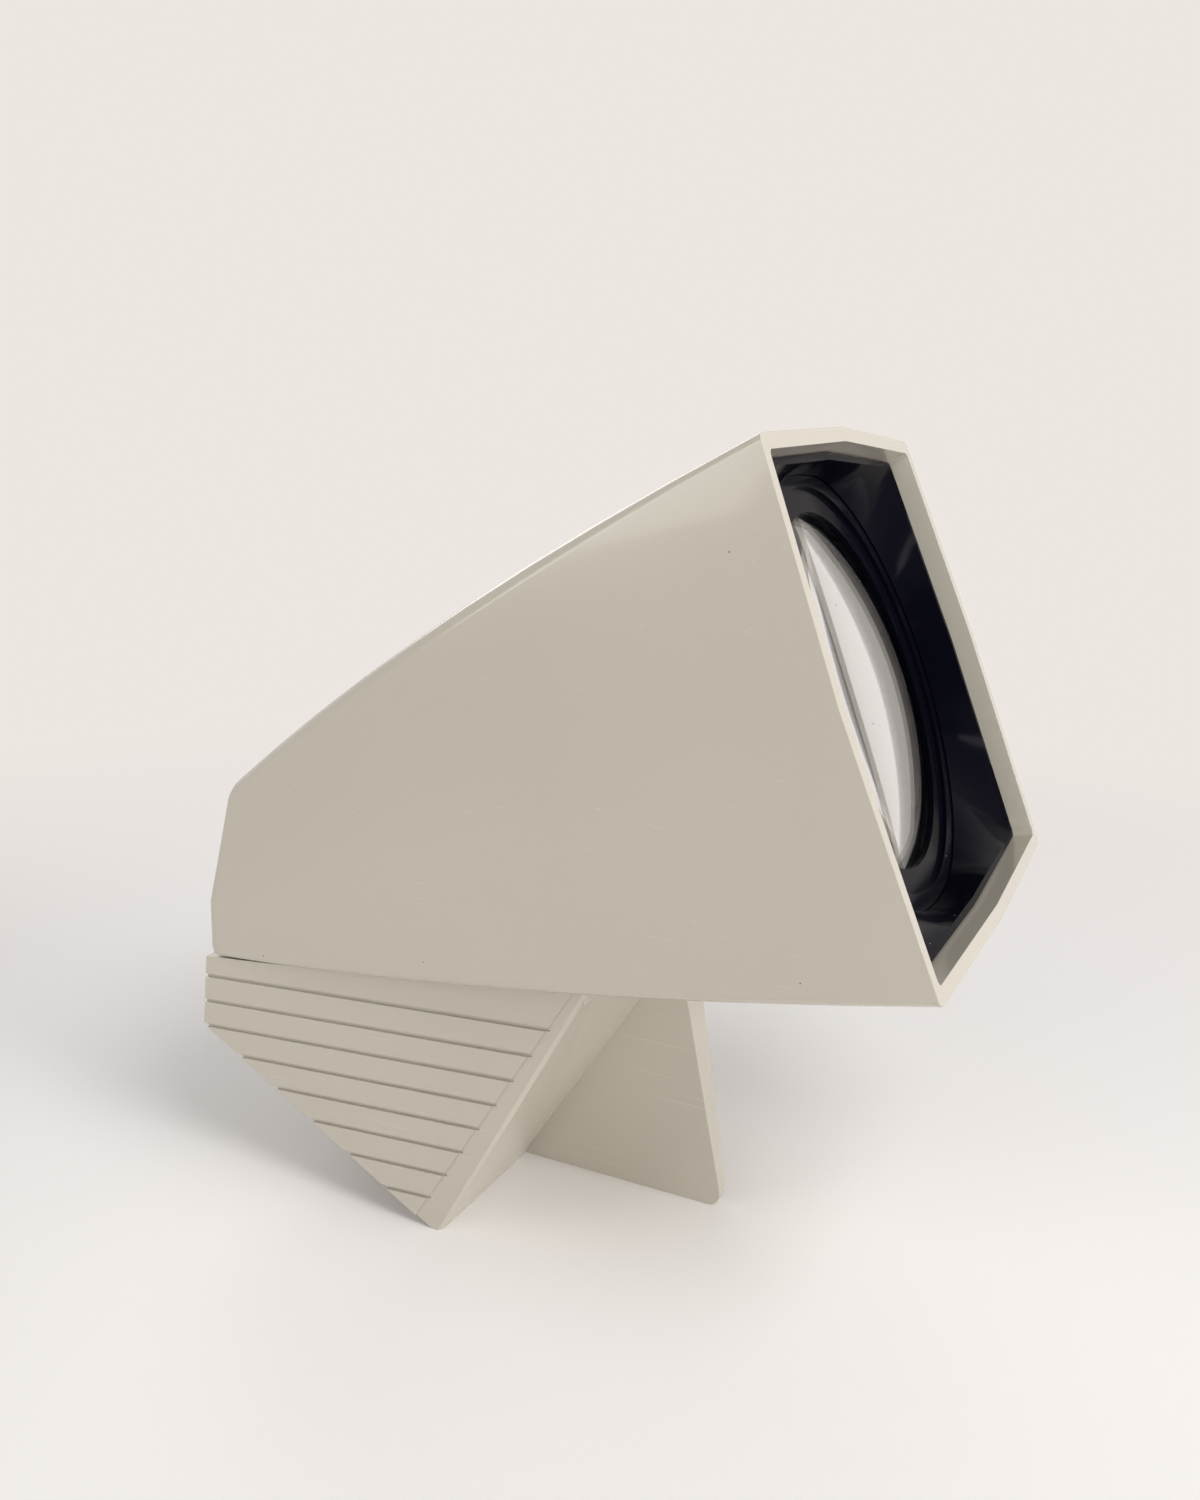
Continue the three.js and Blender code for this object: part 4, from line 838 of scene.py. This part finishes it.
def photo_camera(focal_length):
    """The camera at the photograph's place and angle."""
    bpy.ops.object.camera_add(location=(0, 0, 0))
    camera = bpy.context.active_object
    camera.name = "photo_camera"
    forward = Vector((-math.sin(CAMERA_TURN) * math.cos(CAMERA_DIP),
                      math.cos(CAMERA_TURN) * math.cos(CAMERA_DIP), -math.sin(CAMERA_DIP)))
    level = Vector((math.cos(CAMERA_TURN), math.sin(CAMERA_TURN), 0.0))
    upright = level.cross(forward)
    right = level * math.cos(CAMERA_ROLL) + upright * math.sin(CAMERA_ROLL)
    up = upright * math.cos(CAMERA_ROLL) - level * math.sin(CAMERA_ROLL)
    camera.matrix_world = Matrix((
        (right.x, up.x, -forward.x, CAMERA_PLACE[0]),
        (right.y, up.y, -forward.y, CAMERA_PLACE[1]),
        (right.z, up.z, -forward.z, CAMERA_PLACE[2]),
        (0.0, 0.0, 0.0, 1.0)))
    camera.data.sensor_width = SENSOR_WIDTH
    camera.data.lens = focal_length
    camera.data.clip_start = CLIP_START
    camera.data.dof.use_dof = False
    bpy.context.scene.camera = camera


def table_top(settings):
    """The pale table that the object stands on."""
    bpy.ops.object.select_all(action="DESELECT")
    bpy.ops.mesh.primitive_plane_add(size=TABLE_SIZE, location=(0, 0, 0))
    floor = bpy.context.active_object
    floor.name = "table_top"
    floor.data.materials.append(table_finish(settings))


def soft_room(settings):
    """Even light from all round, with a pale backdrop where it is seen."""
    world = bpy.data.worlds.new("soft_room")
    bpy.context.scene.world = world
    world.use_nodes = True
    tree = world.node_tree
    link = tree.links.new
    light = tree.nodes["Background"]
    light.inputs["Color"].default_value = (*SOFT_WHITE, 1.0)
    light.inputs["Strength"].default_value = settings.sky
    wall = node(tree, "ShaderNodeBackground", {"Color": (*settings.backdrop, 1.0), "Strength": 1.0})
    both = tree.nodes.new("ShaderNodeMixShader")
    link(seen_rays(tree), both.inputs[0])
    link(light.outputs[0], both.inputs[1])
    link(wall.outputs[0], both.inputs[2])
    link(both.outputs[0], tree.nodes["World Output"].inputs["Surface"])


def dark_card():
    """A dark card that only shows in gloss, where the mouth's liner reflects it."""
    aim = (Vector(CARD_TARGET) - Vector(CARD_PLACE)).to_track_quat("Z", "Y").to_euler()
    bpy.ops.object.select_all(action="DESELECT")
    bpy.ops.mesh.primitive_plane_add(size=CARD_SIZE, location=CARD_PLACE, rotation=aim)
    card = bpy.context.active_object
    card.name = "dark_card"
    for ray in ("visible_camera", "visible_diffuse", "visible_transmission", "visible_shadow"):
        setattr(card, ray, False)
    material, _, shader = surface("card_black")
    shader.inputs["Base Color"].default_value = CARD_COLOUR
    shader.inputs["Specular IOR Level"].default_value = 0.0
    card.data.materials.append(material)


def seen_rays(tree):
    """One for rays on which the backdrop's own colour shows, and zero for rays that light the object."""
    link = tree.links.new
    path = tree.nodes.new("ShaderNodeLightPath")
    clearer = node(tree, "ShaderNodeMath", operation="MAXIMUM")
    total = node(tree, "ShaderNodeMath", operation="MAXIMUM")
    link(path.outputs["Is Camera Ray"], clearer.inputs[0])
    link(path.outputs["Is Transmission Ray"], clearer.inputs[1])
    link(clearer.outputs[0], total.inputs[0])
    link(path.outputs["Is Glossy Ray"], total.inputs[1])
    direct = node(tree, "ShaderNodeMath", {1: 0.5}, operation="LESS_THAN")
    link(path.outputs["Diffuse Depth"], direct.inputs[0])
    both = node(tree, "ShaderNodeMath", operation="MULTIPLY")
    link(total.outputs[0], both.inputs[0])
    link(direct.outputs[0], both.inputs[1])
    return both.outputs[0]


def table_finish(settings):
    """White satin table top that fades into the backdrop's colour away from the object."""
    material, tree, shader = surface("table_white")
    link = tree.links.new
    shader.inputs["Base Color"].default_value = (*settings.floor, 1.0)
    shader.inputs["Roughness"].default_value = TABLE_ROUGHNESS
    shader.inputs["Specular IOR Level"].default_value = TABLE_SPECULAR
    far = node(tree, "ShaderNodeEmission", {"Color": (*settings.backdrop, 1.0), "Strength": 1.0})
    position = tree.nodes.new("ShaderNodeTexCoord")
    away = node(tree, "ShaderNodeVectorMath", operation="LENGTH")
    fade = node(tree, "ShaderNodeMapRange", {"From Min": FADE_START, "From Max": FADE_END},
                interpolation_type="SMOOTHSTEP")
    share = node(tree, "ShaderNodeMath", operation="MULTIPLY")
    both = tree.nodes.new("ShaderNodeMixShader")
    link(position.outputs["Object"], away.inputs[0])
    link(away.outputs["Value"], fade.inputs["Value"])
    link(fade.outputs[0], share.inputs[0])
    link(seen_rays(tree), share.inputs[1])
    link(share.outputs[0], both.inputs[0])
    link(shader.outputs[0], both.inputs[1])
    link(far.outputs[0], both.inputs[2])
    link(both.outputs[0], tree.nodes["Material Output"].inputs["Surface"])
    return material


def lamp(name, place, target, size, watts, colour):
    """A square soft lamp that faces a point."""
    aim = (Vector(target) - Vector(place)).to_track_quat("-Z", "Y").to_euler()
    bpy.ops.object.light_add(type="AREA", location=place, rotation=aim)
    made = bpy.context.active_object
    made.name = name
    made.data.size = size
    made.data.energy = watts
    made.data.color = colour


class VIEWER_PT_panel(bpy.types.Panel):
    """Steps that finish the slide viewer"""
    bl_idname = "VIEWER_PT_panel"
    bl_label = "Slide Viewer"
    bl_space_type = "VIEW_3D"
    bl_region_type = "UI"
    bl_category = "Slide Viewer"

    def draw(self, context):
        column = self.layout.column()
        for step in STEPS:
            column.operator(step.bl_idname)
        for held in (context.scene.viewer_sizes, context.scene.viewer_finish, context.scene.viewer_stage):
            box = self.layout.box()
            for field in held.bl_rna.properties:
                if field.identifier not in ("rna_type", "name"):
                    box.prop(held, field.identifier)


STEPS = (VIEWER_OT_hood, VIEWER_OT_mouth, VIEWER_OT_gate, VIEWER_OT_lamp, VIEWER_OT_base, VIEWER_OT_power,
         VIEWER_OT_stage)
CLASSES = (ViewerSizes, ViewerFinish, ViewerStage, *STEPS, VIEWER_PT_panel)


def register():
    for made in CLASSES:
        bpy.utils.register_class(made)
    bpy.types.Scene.viewer_sizes = PointerProperty(type=ViewerSizes)
    bpy.types.Scene.viewer_finish = PointerProperty(type=ViewerFinish)
    bpy.types.Scene.viewer_stage = PointerProperty(type=ViewerStage)


def unregister():
    del bpy.types.Scene.viewer_stage
    del bpy.types.Scene.viewer_finish
    del bpy.types.Scene.viewer_sizes
    for made in reversed(CLASSES):
        bpy.utils.unregister_class(made)


def main():
    register()
    bpy.ops.viewer.hood()
    bpy.ops.viewer.mouth()
    bpy.ops.viewer.gate()
    bpy.ops.viewer.lamp()
    bpy.ops.viewer.base()
    bpy.ops.viewer.power()
    bpy.ops.viewer.stage()


if __name__ == "__main__":
    main()
